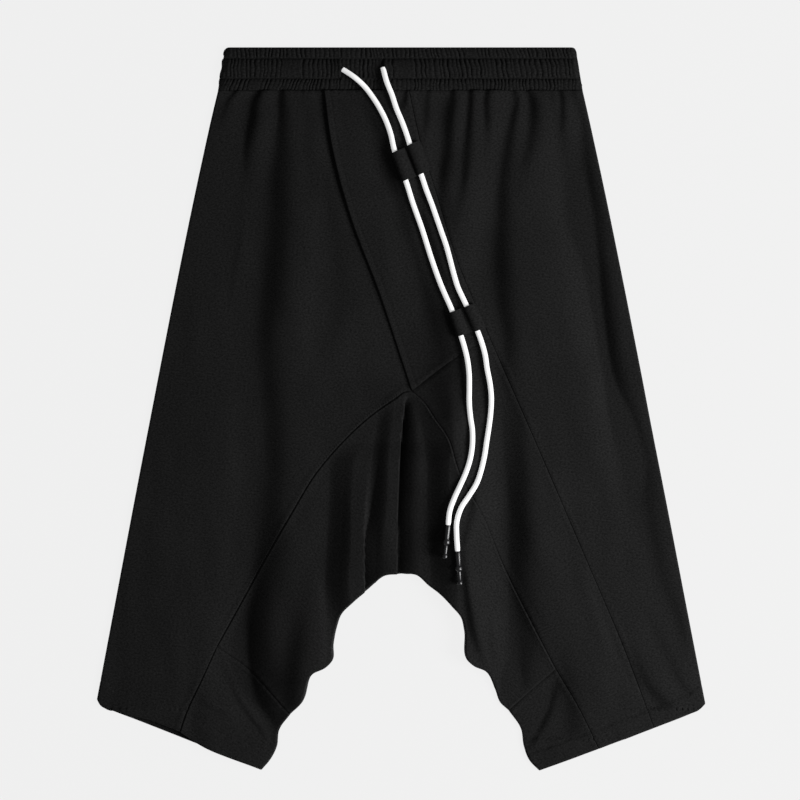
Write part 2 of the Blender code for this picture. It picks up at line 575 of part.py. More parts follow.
def waistband():
    """Back band flat on the surface, and the three gathered parts of the front band."""
    drops = np.array([row[0] for row in BAND_PROFILE])
    drops = np.minimum(drops, BAND_DEPTH - SEAM_GAP / 2)
    seam_middle = (SIDE_LEFT[0][0] + SIDE_RIGHT[0][0]) / 2
    start_x = seam_middle - WAIST / 2
    end_x = seam_middle + WAIST / 2
    widening = (SIDE_LEFT[0][0] - SIDE_RIGHT[0][0]) / WAIST - 1     # from top edge to seam

    def band(name, start, end, stations, flat=False, low=False):
        across = np.linspace(start, end, stations + 1)
        grid = np.empty((len(drops), stations + 1, 2))
        spread = 1 + widening * drops[:, None] / BAND_DEPTH
        grid[:, :, 0] = seam_middle + (across[None, :] - seam_middle) * spread
        grid[:, :, 1] = drops[:, None]
        heights = np.repeat(band_lift(drops)[:, None], stations + 1, axis=1)
        if low:
            heights = np.minimum(heights, CENTRE_LIFT)
        gathers = GATHER_RISE * (-1.0) ** np.arange(stations + 1)
        heights = heights + (gathers + GATHER_RISE) / 2
        heights = heights * (0 if flat else 1)
        cloth(name, grid, heights, BAND_CLOTH, "ribbed_band")

    near = SEAM_GAP / 2
    mouths = (MOUTH_RIGHT + near, MOUTH_LEFT - near)
    band("waistband_back", start_x, end_x, BAND_STATIONS["back"], flat=True)
    band("waistband_front_right", start_x, MOUTH_RIGHT - near, BAND_STATIONS["right"])
    band("waistband_front_centre", *mouths, BAND_STATIONS["centre"], low=True)
    band("waistband_front_left", MOUTH_LEFT + near, end_x, BAND_STATIONS["left"])


def tab_cover(points):
    """1 where a point lies between the two ends of a tab, dying out in a few millimetres."""
    cover = np.zeros(len(points))
    for upper, lower in TABS.values():
        start = (upper.cord_right[1] + upper.cord_left[1]) / 2
        end = (lower.cord_right[1] + lower.cord_left[1]) / 2
        tilt = (upper.seam[1] - upper.edge[1]) / (upper.seam[0] - upper.edge[0])
        middle = (upper.cord_right[0] + upper.cord_left[0]) / 2
        across = points[:, 0] - middle - (points[:, 1] - start) * TAB_LEAN
        level = points[:, 1] - tilt * across
        away = np.maximum(start - level, level - end)
        cover = np.maximum(cover, 1 - ease((away - TAB_REACH) / TAB_EASE))
    return cover


def cord_points(route):
    """The middle line of a cord that rests on the cloth, in millimetres."""
    line = Line(route)
    flat = line.at(even(round(line.length / CORD_POINT_SPACING)))
    heights = np.array([resting(x, drop, CORD / 2) for x, drop in flat])
    heights += CORD_CLEARANCE + TAB_UNDERLAYER * tab_cover(flat)
    for _ in range(3):                                  # a cord bridges what it can't bend into
        heights[1:-1] = np.maximum(heights[1:-1], (heights[:-2] + heights[2:]) / 2)
    return np.column_stack([flat, heights])


def drawcord(name, route):
    """One free end of the drawcord and the moulded tip on it."""
    points = cord_points(route)
    curve = bpy.data.curves.new(name, "CURVE")
    curve.dimensions = "3D"
    curve.bevel_depth = CORD / 2 * MM
    curve.bevel_resolution = 2
    curve.render_resolution_u = 0
    curve.use_fill_caps = True
    spline = curve.splines.new("POLY")
    spline.points.add(len(points) - 1)
    for target, point in zip(spline.points, points):
        target.co = (*place(*point), 1.0)
    add_object(name, curve, "cotton_cord")

    end = place(*points[-1])
    along = (end - place(*points[-2])).normalized()
    tip_length = TIP_PROFILE[-1][0]
    far = points[-1][:2] + (points[-1][:2] - points[-2][:2]) / CORD_POINT_SPACING * tip_length
    ring = max(radius for _, radius in TIP_PROFILE)
    under = [points[-1][:2] * (1 - t) + far * t for t in (0.5, 0.75, 1.0)]
    rest = max(resting(*place_under, ring) for place_under in under)
    level = place(*far, rest + CORD_CLEARANCE)
    along = (level - end).normalized()
    tip(name.replace("cord", "cord_tip"), end + along * SEAM_GAP * MM, along)


def tip(name, start, along):
    """A moulded tip: a turned profile, standing on its sleeve end, pointing along the cord."""
    rows = [(0.0, 0.0)] + [(radius, z) for z, radius in TIP_PROFILE]
    rows.append((0.0, TIP_PROFILE[-1][0]))
    rows = rows[::-1]
    mesh = bpy.data.meshes.new(name)
    mesh.from_pydata(
        [(radius * MM, 0, z * MM) for radius, z in rows],
        [(k, k + 1) for k in range(len(rows) - 1)],
        [],
    )
    made = add_object(name, mesh, "moulded_tip")
    turn = made.modifiers.new("turned", "SCREW")
    turn.steps = TIP_SIDES
    turn.render_steps = TIP_SIDES
    turn.use_merge_vertices = True
    turn.merge_threshold = 0.00005
    turn.use_smooth_shade = True
    made.location = start
    made.rotation_mode = "QUATERNION"
    made.rotation_quaternion = Vector((0, 0, 1)).rotation_difference(along)


def tabs():
    """Two folded strips, stitched down between the cords, that hold them on the overlay."""
    cords = {
        "cord_right": cord_points(CORD_RIGHT_ROUTE),
        "cord_left": cord_points(CORD_LEFT_ROUTE),
    }
    for name, (upper, lower) in TABS.items():
        stations = even(TAB_STATIONS)
        grid = np.empty((len(stations), len(TAB_SECTION), 2))
        heights = np.empty(grid.shape[:2])
        for i, share in enumerate(stations):
            ends = zip(np.array(upper), np.array(lower))
            middle = TabEnd(*(start * (1 - share) + end * share for start, end in ends))
            across = (middle.seam - middle.edge) / np.linalg.norm(middle.seam - middle.edge)
            for j, (column, offset, rise) in enumerate(TAB_SECTION):
                point = getattr(middle, column) + across * offset
                grid[i, j] = point
                if column in cords:
                    x, drop, height = cords[column].T
                    heights[i, j] = np.interp(getattr(middle, column)[1], drop, height) + rise
                else:
                    heights[i, j] = cloth_top(point[None, :])[0] + rise
        made = cloth(name, grid, heights, CLOTH, "cotton_jersey")
        made.modifiers["cloth thickness"].use_even_offset = True


def build():
    """Every piece of the shorts."""
    fronts()
    backs()
    waistband()
    tabs()
    drawcord("cord_right", CORD_RIGHT_ROUTE)
    drawcord("cord_left", CORD_LEFT_ROUTE)


for old in list(bpy.data.objects):
    bpy.data.objects.remove(old)
bpy.context.scene.collection.children.link(bpy.data.collections.new("cotton_shorts"))
build()
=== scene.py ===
# %% [markdown]
# # Drop-crotch cotton shorts, laid flat
#
# The object is a pair of black French terry shorts that lies on a pale table: a gathered elastic
# waistband, slanted front panels, a crotch gusset that falls in deep pleats, and a white drawcord
# that runs through two cloth tabs. Cloth that lies flat has one height at every place. So the
# shorts are made here the way a cutter draws them, as flat outlines in millimetres, and each
# panel is then lifted by a few functions for its folds. That is easier to steer than a
# simulation, because every fold of the real pair can be given its own place, width and depth.

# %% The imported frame
import math
from collections import namedtuple

import bmesh
import bpy
import numpy as np
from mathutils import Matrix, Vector
from mathutils.kdtree import KDTree


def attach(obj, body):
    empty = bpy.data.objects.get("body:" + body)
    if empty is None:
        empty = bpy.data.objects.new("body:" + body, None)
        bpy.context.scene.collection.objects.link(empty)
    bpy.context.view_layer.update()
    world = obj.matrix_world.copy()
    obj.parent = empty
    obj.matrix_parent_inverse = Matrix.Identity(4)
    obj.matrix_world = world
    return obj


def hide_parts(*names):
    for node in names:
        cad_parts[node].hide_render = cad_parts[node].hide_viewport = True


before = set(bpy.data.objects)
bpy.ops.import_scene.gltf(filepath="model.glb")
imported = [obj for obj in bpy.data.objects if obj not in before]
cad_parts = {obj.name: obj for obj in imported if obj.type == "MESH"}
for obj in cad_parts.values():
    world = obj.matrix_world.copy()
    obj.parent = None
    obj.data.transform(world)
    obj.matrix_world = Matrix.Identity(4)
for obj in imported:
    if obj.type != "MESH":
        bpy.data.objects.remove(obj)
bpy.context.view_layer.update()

# %% [markdown]
# ## How the garment is measured
#
# A place on the cloth is (x, drop) in millimetres: x goes across from the centre line towards the
# wearer's left, and drop goes down from the waistband's top edge. The third number is the height
# above the table. Only one function turns such a place into Blender's metres, so no other line
# has to think about units. Right and left in the names of pieces and seams are the wearer's, so
# the right leg is on the left of the picture. In the functions that bend the cloth, left is
# simply the side of the smaller x, as the picture shows it.

# %% Driving sizes, in millimetres
MM = 0.001
LENGTH = 722.0  # top of the waistband to the lowest corner of a leg
WAIST = 350.0  # top of the waistband laid flat, elastic relaxed
BAND_DEPTH = 43.0  # waistband, top edge to panel seam
CLOTH = 1.2  # one layer of French terry
BAND_CLOTH = 2.4  # folded band with its elastic
SEAM_GAP = 0.3  # between neighbouring pieces
HEM_DEPTH = 19.0  # hem turned up inside, stitched at its top
ROLL = 2.0  # width over which a folded side turns down to the back
CORD = 5.5  # drawcord diameter


def to_metres(places):
    """Rows of (x, drop, height) in millimetres as points in the part's frame, in metres."""
    places = np.asarray(places, dtype=float)
    x, drop, height = places[..., 0], places[..., 1], places[..., 2]
    return np.stack([x, LENGTH / 2 - drop, height], axis=-1) * MM


print("the waistband's top edge is at", to_metres([0, 0, 0]).round(4))

# %% [markdown]
# ## The camera
#
# The picture was taken straight from above. A long lens far away keeps the outline from
# spreading, so 100 mm and a little over two metres give a field 0.8 m wide, one millimetre for
# each pixel of an 800-pixel picture.

# %% Camera straight above
FIELD = 0.8  # metres across the picture at the cloth
PICTURE_MIDDLE = (-0.0015, 0.009)


def add_camera():
    data = bpy.data.cameras.new("camera above")
    data.lens = 100.0
    data.sensor_width = 36.0
    camera = bpy.data.objects.new("camera above", data)
    camera.location = (*PICTURE_MIDDLE, FIELD * data.lens / data.sensor_width)
    bpy.context.scene.collection.objects.link(camera)
    bpy.context.scene.camera = camera
    return camera


print("camera at", add_camera().location[:])

# %% [markdown]
# ## Smooth lines
#
# Every edge and seam is a smooth line through a few points. A cubic span between two points
# leans towards the nearer neighbour at each of them, so a line follows close points tightly and
# sweeps through wide ones. `Nearest` answers the question that cloth asks all the time: how far
# is this place from the seam, and how far along it.

# %% Smooth lines
FINE_STEP = 1.0  # spacing of the points that stand for a smooth line


def distances(points):
    """How far along a run of points each of them lies."""
    steps = np.linalg.norm(np.diff(points, axis=0), axis=1)
    return np.concatenate([[0.0], np.cumsum(steps)])


def unit(directions):
    """Directions, each brought to a length of one."""
    return directions / np.linalg.norm(directions, axis=-1, keepdims=True)


class Line:
    """A smooth line through the rows of a table, measured along its length."""

    def __init__(self, rows):
        points = np.array(rows, dtype=float)
        self.points = self.smoothed(points) if len(points) > 2 else self.straight(points)
        self.measure()

    def measure(self):
        """Note how far along the line each of its points lies."""
        self.along = distances(self.points)
        self.length = self.along[-1]

    @staticmethod
    def straight(points):
        count = max(2, int(np.linalg.norm(points[1] - points[0]) / FINE_STEP))
        return points[0] + (points[1] - points[0]) * np.linspace(0, 1, count)[:, None]

    @staticmethod
    def smoothed(points):
        spans = np.diff(points, axis=0)
        lengths = np.linalg.norm(spans, axis=1)
        slopes = spans / lengths[:, None]
        tangents = np.empty_like(points)
        tangents[0] = slopes[0]
        tangents[-1] = slopes[-1]
        weights = lengths[1:, None] / (lengths[1:] + lengths[:-1])[:, None]
        tangents[1:-1] = slopes[:-1] * weights + slopes[1:] * (1 - weights)
        pieces = []
        for k, length in enumerate(lengths):
            t = np.linspace(0, 1, max(2, int(length / FINE_STEP)), endpoint=False)[:, None]
            pieces.append(
                points[k] * (1 + 2 * t) * (1 - t) ** 2
                + points[k + 1] * t * t * (3 - 2 * t)
                + tangents[k] * length * t * (1 - t) ** 2
                - tangents[k + 1] * length * t * t * (1 - t)
            )
        return np.vstack(pieces + [points[-1:]])

    def at(self, fractions):
        """Points at fractions of the length."""
        distance = np.asarray(fractions) * self.length
        return np.stack([np.interp(distance, self.along, axis) for axis in self.points.T], axis=-1)

    def down(self, start, end, fractions):
        """Points between two drops of a line that falls steadily."""
        drops = start + (end - start) * np.asarray(fractions)
        return np.stack([np.interp(drops, self.points[:, 1], self.points[:, 0]), drops], axis=1)


print("a quarter circle of lines:", Line([(0, 10), (7, 7), (10, 0)]).length.round(2), "mm")

# %% Distances to lines
class Nearest:
    """Distance of places to the closest of some lines, and where along it they are."""

    def __init__(self, lines):
        self.points = np.vstack([line.points for line in lines])
        starts = np.cumsum([0.0] + [line.length for line in lines[:-1]])
        self.along = np.concatenate([line.along + start for line, start in zip(lines, starts)])
        self.owner = np.concatenate([[k] * len(line.points) for k, line in enumerate(lines)])
        self.tree = KDTree(len(self.points))
        for k, (x, drop) in enumerate(self.points):
            self.tree.insert((x, drop, 0), k)
        self.tree.balance()

    def __call__(self, places):
        flat = np.asarray(places, dtype=float)[..., :2].reshape(-1, 2)
        found = np.array([self.tree.find((x, drop, 0))[1] for x, drop in flat])
        gap = np.linalg.norm(flat - self.points[found], axis=1)
        along = self.along[found]
        last = len(self.points) - 1
        for a, b in ((np.maximum(found - 1, 0), found), (found, np.minimum(found + 1, last))):
            run = self.points[b] - self.points[a]
            length = np.maximum(np.linalg.norm(run, axis=1), 1e-9)
            t = ((flat - self.points[a]) * run).sum(axis=1) / length ** 2
            t = np.clip(t, 0, 1)
            here = np.linalg.norm(flat - self.points[a] - run * t[:, None], axis=1)
            better = (self.owner[a] == self.owner[b]) & (here < gap)
            gap = np.where(better, here, gap)
            along = np.where(better, self.along[a] + t * length, along)
        shape = np.shape(places)[:-1]
        return gap.reshape(shape), along.reshape(shape)


print("gap and place along a line:", *Nearest([Line([(0, 0), (10, 0)])])([(4, 3)]))

# %% [markdown]
# ## The pattern
#
# These tables are the cut of the front as it lies: the sides, the seams and the hems. The same
# points serve both panels of a seam, so neighbours always meet. The overlay is the panel in the
# middle whose free fold runs down to the point of the gusset.

# %% Outline and seams: rows of (x, drop)
SIDE_RIGHT = [(-183.4, 43.0), (-190.3, 72.0), (-200.2, 117.0), (-257.2, 402.0), (-304.2, 651.0)]
SIDE_LEFT = [(181.0, 43.0), (187.6, 72.0), (197.4, 117.0), (254.4, 402.0), (303.4, 655.0)]
OVERLAY_FOLD = [(-77.5, 43.0), (-69.5, 99.0), (-50.8, 170.0), (-22.9, 244.0), (10.0, 343.0)]
LONG_SEAM_UPPER = [(7.2, 43.0), (18.5, 94.5), (34.5, 146.0), (53.2, 208.0), (87.5, 290.0)]
LONG_SEAM_LOWER = [(87.5, 290.0), (123.5, 372.0), (184.2, 512.0), (222.5, 602.0), (251.5, 678.8)]
DIAGONAL_SEAM = [(10.0, 343.0), (49.5, 313.0), (87.5, 290.0)]
GUSSET_SEAM_RIGHT = [
    (10.0, 343.0), (3.0, 343.6), (-4.5, 349.0), (-27.5, 365.0), (-67.5, 403.0), (-84.0, 423.0),
    (-111.5, 468.0), (-136.8, 512.0), (-158.5, 551.0), (-184.5, 598.0),
]
GUSSET_SEAM_LEFT = [
    (10.0, 343.0), (21.5, 353.0), (33.0, 370.0), (46.5, 390.0), (55.5, 419.0), (83.0, 471.0),
    (99.5, 512.0), (128.0, 570.5), (153.5, 620.0),
]
LEG_SEAM_RIGHT = [(-184.5, 598.0), (-199.5, 631.0), (-215.0, 664.3), (-221.0, 682.5)]
LEG_SEAM_LEFT = [(153.5, 620.0), (175.5, 657.0), (196.5, 699.7)]
CROSS_SEAM_RIGHT = [(-184.5, 598.0), (-152.5, 621.0), (-110.5, 665.0)]
CROSS_SEAM_LEFT = [(153.5, 620.0), (107.0, 662.0)]
ARCH_RIGHT = [
    (0.0, 525.4), (-16.5, 527.0), (-31.9, 540.0), (-47.5, 553.0), (-60.5, 567.0), (-64.0, 577.0),
    (-67.8, 596.0), (-68.7, 611.5), (-75.0, 618.0), (-87.5, 624.0), (-98.8, 653.0),
    (-110.5, 665.0),
]
ARCH_LEFT = [
    (0.0, 525.4), (15.0, 527.0), (27.0, 537.3), (37.2, 545.0), (50.5, 558.5), (59.5, 569.5),
    (62.5, 582.0), (65.8, 612.0), (72.0, 617.5), (84.5, 623.5), (93.5, 641.0), (98.5, 654.0),
    (107.0, 662.0),
]
INNER_LEG_RIGHT = [(-110.5, 665.0), (-122.3, 682.0), (-124.5, 698.0), (-130.0, 709.5), (-139.5, 721.0)]
INNER_LEG_LEFT = [(107.0, 662.0), (119.5, 681.0), (122.0, 697.0), (127.5, 711.5), (137.5, LENGTH)]
HEM_RIGHT_FRONT = [(-304.2, 651.0), (-301.0, 656.5), (-281.0, 663.5), (-250.0, 671.5), (-221.0, 682.5)]
HEM_RIGHT_INNER = [(-221.0, 682.5), (-208.0, 691.5), (-139.5, 721.0)]
HEM_RIGHT_BACK = [(-304.2, 651.0), (-301.0, 656.8), (-294.0, 660.0), (-263.0, 672.0), (-139.5, 721.0)]
HEM_LEFT_FRONT = [(251.5, 678.8), (288.0, 665.1), (296.0, 661.8), (303.4, 655.0)]
HEM_LEFT_INNER = [(196.5, 699.7), (251.5, 678.8)]
HEM_LEFT_LEG = [(137.5, LENGTH), (196.5, 699.7)]
HEM_LEFT_BACK = [(303.4, 655.0), (296.0, 661.8), (288.0, 665.1), (137.5, LENGTH)]
WAIST_SEAM = [(SIDE_RIGHT[0][0], BAND_DEPTH), (SIDE_LEFT[0][0], BAND_DEPTH)]

overlay_fold = Line(OVERLAY_FOLD)
seam_upper = Line(LONG_SEAM_UPPER)
diagonal_seam = Line(DIAGONAL_SEAM)
to_folded_edge = Nearest([
    Line(rows)
    for rows in (SIDE_RIGHT, SIDE_LEFT, ARCH_RIGHT, ARCH_LEFT, INNER_LEG_RIGHT, INNER_LEG_LEFT)
])
to_overlay = Nearest([overlay_fold])
to_plain_seam = Nearest([
    Line(rows) for rows in (LONG_SEAM_UPPER, LONG_SEAM_LOWER, DIAGONAL_SEAM, WAIST_SEAM)
])
to_taped_seam = Nearest([
    Line(rows)
    for rows in (
        GUSSET_SEAM_RIGHT, GUSSET_SEAM_LEFT, LEG_SEAM_RIGHT, LEG_SEAM_LEFT, CROSS_SEAM_RIGHT,
        CROSS_SEAM_LEFT,
    )
])
to_hem = Nearest([
    Line(rows)
    for rows in (HEM_RIGHT_FRONT, HEM_RIGHT_INNER, HEM_LEFT_FRONT, HEM_LEFT_INNER, HEM_LEFT_LEG)
])
print("the overlay's fold is", round(overlay_fold.length), "mm long")

# %% [markdown]
# ## Soft folds
#
# Where the jersey hangs from the gathered band it falls in soft folds. Seen from above with the
# light from the picture's right, such a fold is a dark streak with a paler one on each side: the
# cloth climbs to the right under the dark streak and sinks gently beside it. The curve
# s / (1 + s²/2w²) does exactly that, and a wide window lets it die out. A fold is then a few
# stations down its dark streak, each with how far the streak reaches to its left and to its
# right in the picture, and how steeply the cloth climbs there. Uneven stations are what make it
# look like cloth.

# %% The folds that run down from the waistband and across the legs
Station = namedtuple("Station", "x drop left right slope")
SOFT_FOLDS = {
    "right side crease": [
        (-164.5, 43, 2.5, 3, 0.6), (-172.5, 52, 3, 4, 0.55), (-176, 60, 4, 5, 0.38),
        (-180, 72, 5, 6, 0.18), (-188, 86, 5, 6, 0),
    ],
    "right pleat": [
        (-141, 43, 3, 5, 0.8), (-146.5, 52, 4, 7, 0.9), (-149.5, 72, 4, 9, 0.9),
        (-156.5, 102, 6, 11, 0.6), (-159.5, 132, 7, 11, 0.27), (-164, 172, 8, 12, 0.13),
        (-168, 212, 8, 12, 0.1), (-172, 250, 8, 10, 0),
    ],
    "right long fold": [
        (-119.5, 43, 3, 5, 0.75), (-120, 52, 4, 7, 0.75), (-120, 72, 4, 11, 0.68),
        (-120.5, 102, 9, 15, 0.55), (-123.5, 132, 12, 20, 0.52), (-125.5, 172, 13, 21, 0.52),
        (-127.5, 212, 14, 21, 0.5), (-131, 252, 15, 17, 0.5), (-134, 292, 15, 17, 0.48),
        (-132.5, 332, 13, 18, 0.4), (-131.5, 372, 11, 20, 0.36), (-129, 412, 12, 20, 0.38),
        (-130, 452, 17, 20, 0.42), (-133, 492, 18, 23, 0.55), (-141, 532, 11, 29, 0.64),
        (-150, 582, 8, 29, 0.82), (-148, 632, 8, 27, 0.95), (-139, 655, 8, 22, 0.85),
        (-124, 677, 8, 16, 0.5), (-119, 700, 8, 10, 0),
    ],
    "right thin crease": [
        (-157, 150, 2.5, 2.5, 0), (-162.5, 196, 2, 2.5, 0.15), (-168.5, 225, 1.6, 2.5, 0.22),
        (-172, 252, 1.4, 2.5, 0.22), (-175, 268, 1.4, 2.5, 0),
    ],
    "beside the overlay": [
        (-97, 52, 7, 8, 0.18), (-92, 72, 8, 8, 0.18), (-92, 102, 9, 9, 0.2), (-88, 132, 8, 8, 0.12),
        (-86, 160, 8, 8, 0),
    ],
    "right side swell": [
        (-196, 150, 14, 14, 0), (-215, 260, 20, 20, 0.05), (-236, 420, 24, 24, 0.03),
        (-250, 540, 30, 30, 0.03), (-258, 600, 40, 40, 0.06), (-258, 660, 40, 40, 0.06),
    ],
    "right low ridge": [
        (-172, 372, 8, 8, 0), (-169, 400, 8, 8, -0.1), (-168, 452, 8, 8, -0.12),
        (-172, 500, 8, 8, -0.08), (-180, 540, 10, 10, -0.06), (-190, 632, 8, 8, -0.1),
        (-192, 660, 8, 8, 0),
    ],
    "right of the long fold": [
        (-78, 110, 6, 8, 0), (-74, 132, 8, 10, 0.15), (-69, 172, 8, 14, 0.2),
        (-62, 212, 12, 14, 0.16), (-58, 252, 14, 16, 0.12), (-72, 292, 12, 14, 0.12),
        (-75, 332, 10, 10, 0),
    ],
    "right pale ridge": [
        (-88, 150, 7, 7, 0), (-87, 180, 7, 7, -0.12), (-89, 252, 8, 8, -0.14),
        (-93, 292, 8, 8, -0.1), (-95, 340, 8, 8, 0),
    ],
    "overlay, drape": [
        (-52, 60, 14, 14, 0.1), (-46, 102, 20, 20, 0.14), (-38, 132, 22, 22, 0.12),
        (-22, 212, 22, 22, 0.12), (0, 292, 20, 20, 0.12), (12, 332, 14, 14, 0),
    ],
    "top of the overlay": [
        (5.5, 43, 3, 3, 0.6), (3.5, 52, 3, 4, 0.65), (1, 60, 4, 4, 0.5), (-2, 72, 4, 4, 0),
    ],
    "overlay, beside the cords": [
        (-48, 48, 6, 8, 0.05), (-36, 60, 7, 9, 0.16), (-27, 72, 7, 7, 0.42), (-19, 90, 8, 6, 0.42),
        (-14, 102, 8, 5, 0.5), (-10, 118, 10, 6, 0.55), (-7.5, 132, 10, 7, 0.6),
        (-2, 150, 9, 6, 0.34), (5, 172, 12, 6, 0.42), (16, 212, 6, 9, 0.4), (27, 252, 9, 14, 0.45),
        (39, 292, 22, 18, 0.5), (46, 332, 28, 12, 0.32), (52, 360, 20, 10, 0.1),
        (60, 385, 10, 10, 0),
    ],
    "between the cords, top": [
        (-26, 40, 3, 3, 0), (-22, 52, 3, 3, 0.5), (-12, 72, 3.4, 3.4, 0.85), (-4, 86, 3, 3, 0),
    ],
    "between the cords": [
        (17, 150, 3, 3, 0), (23, 172, 4, 4, 0.95), (36, 212, 4, 4, 1.0), (44, 235, 4, 4, 0.7),
        (49, 250, 3, 3, 0),
    ],
    "beside the left cord": [
        (80, 422, 4, 4, 0), (74, 440, 5, 5, 0.4), (71.5, 452, 5, 5, 0.75), (68, 470, 5, 5, 0.6),
        (62, 492, 4, 4, 0.5), (60, 515, 4, 4, 0),
    ],
    "left pucker 1": [(19, 44, 1.8, 2, 0.35), (18, 50, 2, 2.5, 0.25), (16, 58, 2.5, 3, 0)],
    "left pleat 1": [
        (27, 43, 3, 3, 0.5), (25.5, 52, 4, 4, 0.62), (25, 72, 4, 4, 0.45), (22, 90, 4, 4, 0.2),
        (20, 110, 5, 5, 0),
    ],
    "left pucker 2": [(41, 43, 1.3, 1.3, 0.4), (41, 50, 1.6, 1.6, 0)],
    "left pleat 2": [
        (51, 43, 3, 5, 0.7), (51, 52, 6, 6, 0.75), (48.5, 72, 7, 6, 0.72), (46, 102, 7, 8, 0.65),
        (40.5, 132, 5, 11, 0.7), (40, 150, 5, 10, 0.6), (44, 172, 5, 10, 0.5), (48, 200, 6, 8, 0.35),
        (52, 225, 5, 6, 0),
    ],
    "left pleat 3": [
        (69.5, 43, 3, 4, 0.85), (69, 52, 3, 4.5, 0.9), (67.5, 72, 3, 5, 0.85),
        (65, 102, 5, 7, 0.75), (63, 132, 5, 5, 0.65), (58, 160, 6, 6, 0.2), (53, 190, 6, 6, 0),
    ],
    "left pleat 4": [
        (86.5, 43, 2.5, 4, 0.8), (84.5, 52, 3, 5, 0.8), (85, 72, 3, 5, 0.75),
        (85, 90, 4, 5, 0.35), (84, 110, 5, 5, 0.1), (84, 125, 5, 5, 0),
    ],
    "left bright swell": [
        (72, 125, 6, 6, 0), (75, 150, 8, 8, -0.1), (76, 172, 9, 9, -0.16), (70, 212, 9, 9, -0.12),
        (66, 240, 8, 8, 0),
    ],
    "left long fold": [
        (112.5, 43, 3, 3, 0.7), (115.5, 52, 5, 3, 0.65), (111.5, 72, 5, 5, 0.68),
        (106, 102, 7, 8, 0.65), (101, 132, 6, 12, 0.58), (99.5, 172, 8, 12, 0.52),
        (98.5, 212, 10, 14, 0.52), (100.5, 252, 9, 13, 0.55), (106.5, 292, 9, 12, 0.5),
        (104, 332, 9, 12, 0.28), (112, 360, 12, 12, 0.25), (118, 412, 20, 11, 0.45),
        (118.5, 452, 22, 14, 0.52), (118.5, 492, 20, 15, 0.54), (116, 532, 12, 18, 0.5),
        (123, 582, 13, 18, 0.45), (121, 632, 9, 13, 0.4), (120, 660, 8, 10, 0),
    ],
    "left pleat 5": [
        (126.5, 43, 2.5, 4, 0.7), (129.5, 52, 3, 8, 0.8), (131, 72, 5, 9, 0.68),
        (127.5, 102, 7, 8, 0.5), (122, 125, 8, 10, 0.2), (118, 150, 10, 12, 0.1),
        (116, 190, 10, 12, 0),
    ],
    "left pleat 6": [
        (150.5, 43, 1.5, 2, 0.3), (150.5, 52, 2.5, 3, 0.3), (154, 72, 3, 3, 0.12),
        (155, 95, 4, 4, 0),
    ],
    "left pleat 7": [
        (159, 43, 2, 3, 0.7), (160.5, 52, 2.8, 3.2, 0.75), (160.5, 72, 3.5, 4, 0.62),
        (160, 90, 5, 6, 0.3), (163, 108, 8, 8, 0.2), (168, 130, 10, 8, 0.1), (170, 150, 10, 8, 0),
    ],
    "left side swell": [
        (150, 84, 8, 8, 0), (152, 102, 10, 10, -0.12), (155, 132, 12, 12, -0.2),
        (157, 172, 14, 14, -0.2), (172, 212, 20, 12, -0.36), (182, 252, 22, 10, -0.48),
        (190, 292, 18, 10, -0.54), (199, 332, 17, 9, -0.52), (205, 372, 18, 10, -0.46),
        (208, 412, 16, 16, -0.28), (212, 452, 16, 18, 0),
    ],
    "left side fold": [
        (172, 48, 3, 3, 0.3), (178, 60, 4, 3, 0.35), (181.5, 72, 4, 3, 0.45),
        (184.5, 102, 7, 7, 0.55), (188.5, 132, 11, 10, 0.6), (193.5, 172, 13, 12, 0.56),
        (197.5, 212, 7, 11, 0.7), (200, 252, 5.5, 14, 0.76), (205, 292, 5.5, 15, 0.74),
        (213, 332, 5.5, 18, 0.64), (231, 372, 12, 10, 0.46), (241.5, 412, 8, 12, 0.45),
        (246.5, 452, 13, 12, 0.45), (254, 492, 12, 12, 0.38), (263, 532, 12, 12, 0.25),
        (281, 582, 8, 6, 0.3), (284, 610, 6, 6, 0),
    ],
    "beside the long seam": [
        (175, 500, 5, 5, 0), (187, 532, 6, 6, -0.25), (202, 582, 7, 7, -0.3),
        (212, 610, 7, 7, -0.12), (218, 630, 6, 6, 0),
    ],
    "left hem swell": [
        (100, 610, 8, 8, 0), (98, 632, 10, 8, -0.2), (104, 655, 8, 8, -0.1), (108, 668, 6, 6, 0),
    ],
    "left hem drape 1": [
        (234, 545, 6, 6, 0), (246, 565, 7, 7, 0.12), (254, 582, 7, 7, 0.18), (266, 608, 7, 7, 0.2),
        (278, 632, 6, 6, 0.3), (288, 646, 5, 5, 0.2),
    ],
    "left hem drape 2": [
        (224, 590, 8, 8, 0), (232, 608, 8, 8, 0.25), (242, 632, 9, 11, 0.45), (256, 648, 9, 9, 0.4),
        (268, 660, 8, 8, 0.3),
    ],
    "left inner drape": [
        (155, 560, 10, 12, 0), (160, 600, 14, 16, 0.15), (166, 632, 16, 18, 0.4),
        (170, 660, 16, 16, 0.35), (172, 690, 14, 14, 0.2),
    ],
    "left inner swell": [
        (112, 380, 10, 10, 0), (140, 440, 12, 12, -0.08), (150, 490, 12, 12, -0.1),
        (160, 540, 14, 14, -0.05), (165, 580, 14, 14, 0),
    ],
    "gusset, left, foot": [
        (61, 500, 4, 4, 0), (63.5, 532, 5, 4, 0.8), (67, 560, 6, 5, 0.9), (71, 582, 7, 5, 0.9),
        (80, 610, 5, 4, 0.4), (85, 625, 4, 4, 0),
    ],
    "gusset, left, crease": [
        (87, 560, 3, 2, 0), (88.5, 582, 3, 2.5, 0.4), (91, 605, 3, 3, 0.35), (94, 620, 3, 3, 0),
    ],
    "gusset, right, soft": [
        (-92, 500, 10, 10, 0), (-92, 532, 12, 12, 0.18), (-96, 560, 14, 14, 0.28),
        (-101, 582, 16, 14, 0.4), (-106, 610, 18, 14, 0.5), (-108, 632, 18, 14, 0.65),
        (-108, 655, 14, 12, 0.5), (-108, 680, 12, 10, 0),
    ],
    "gusset, right, ridge": [
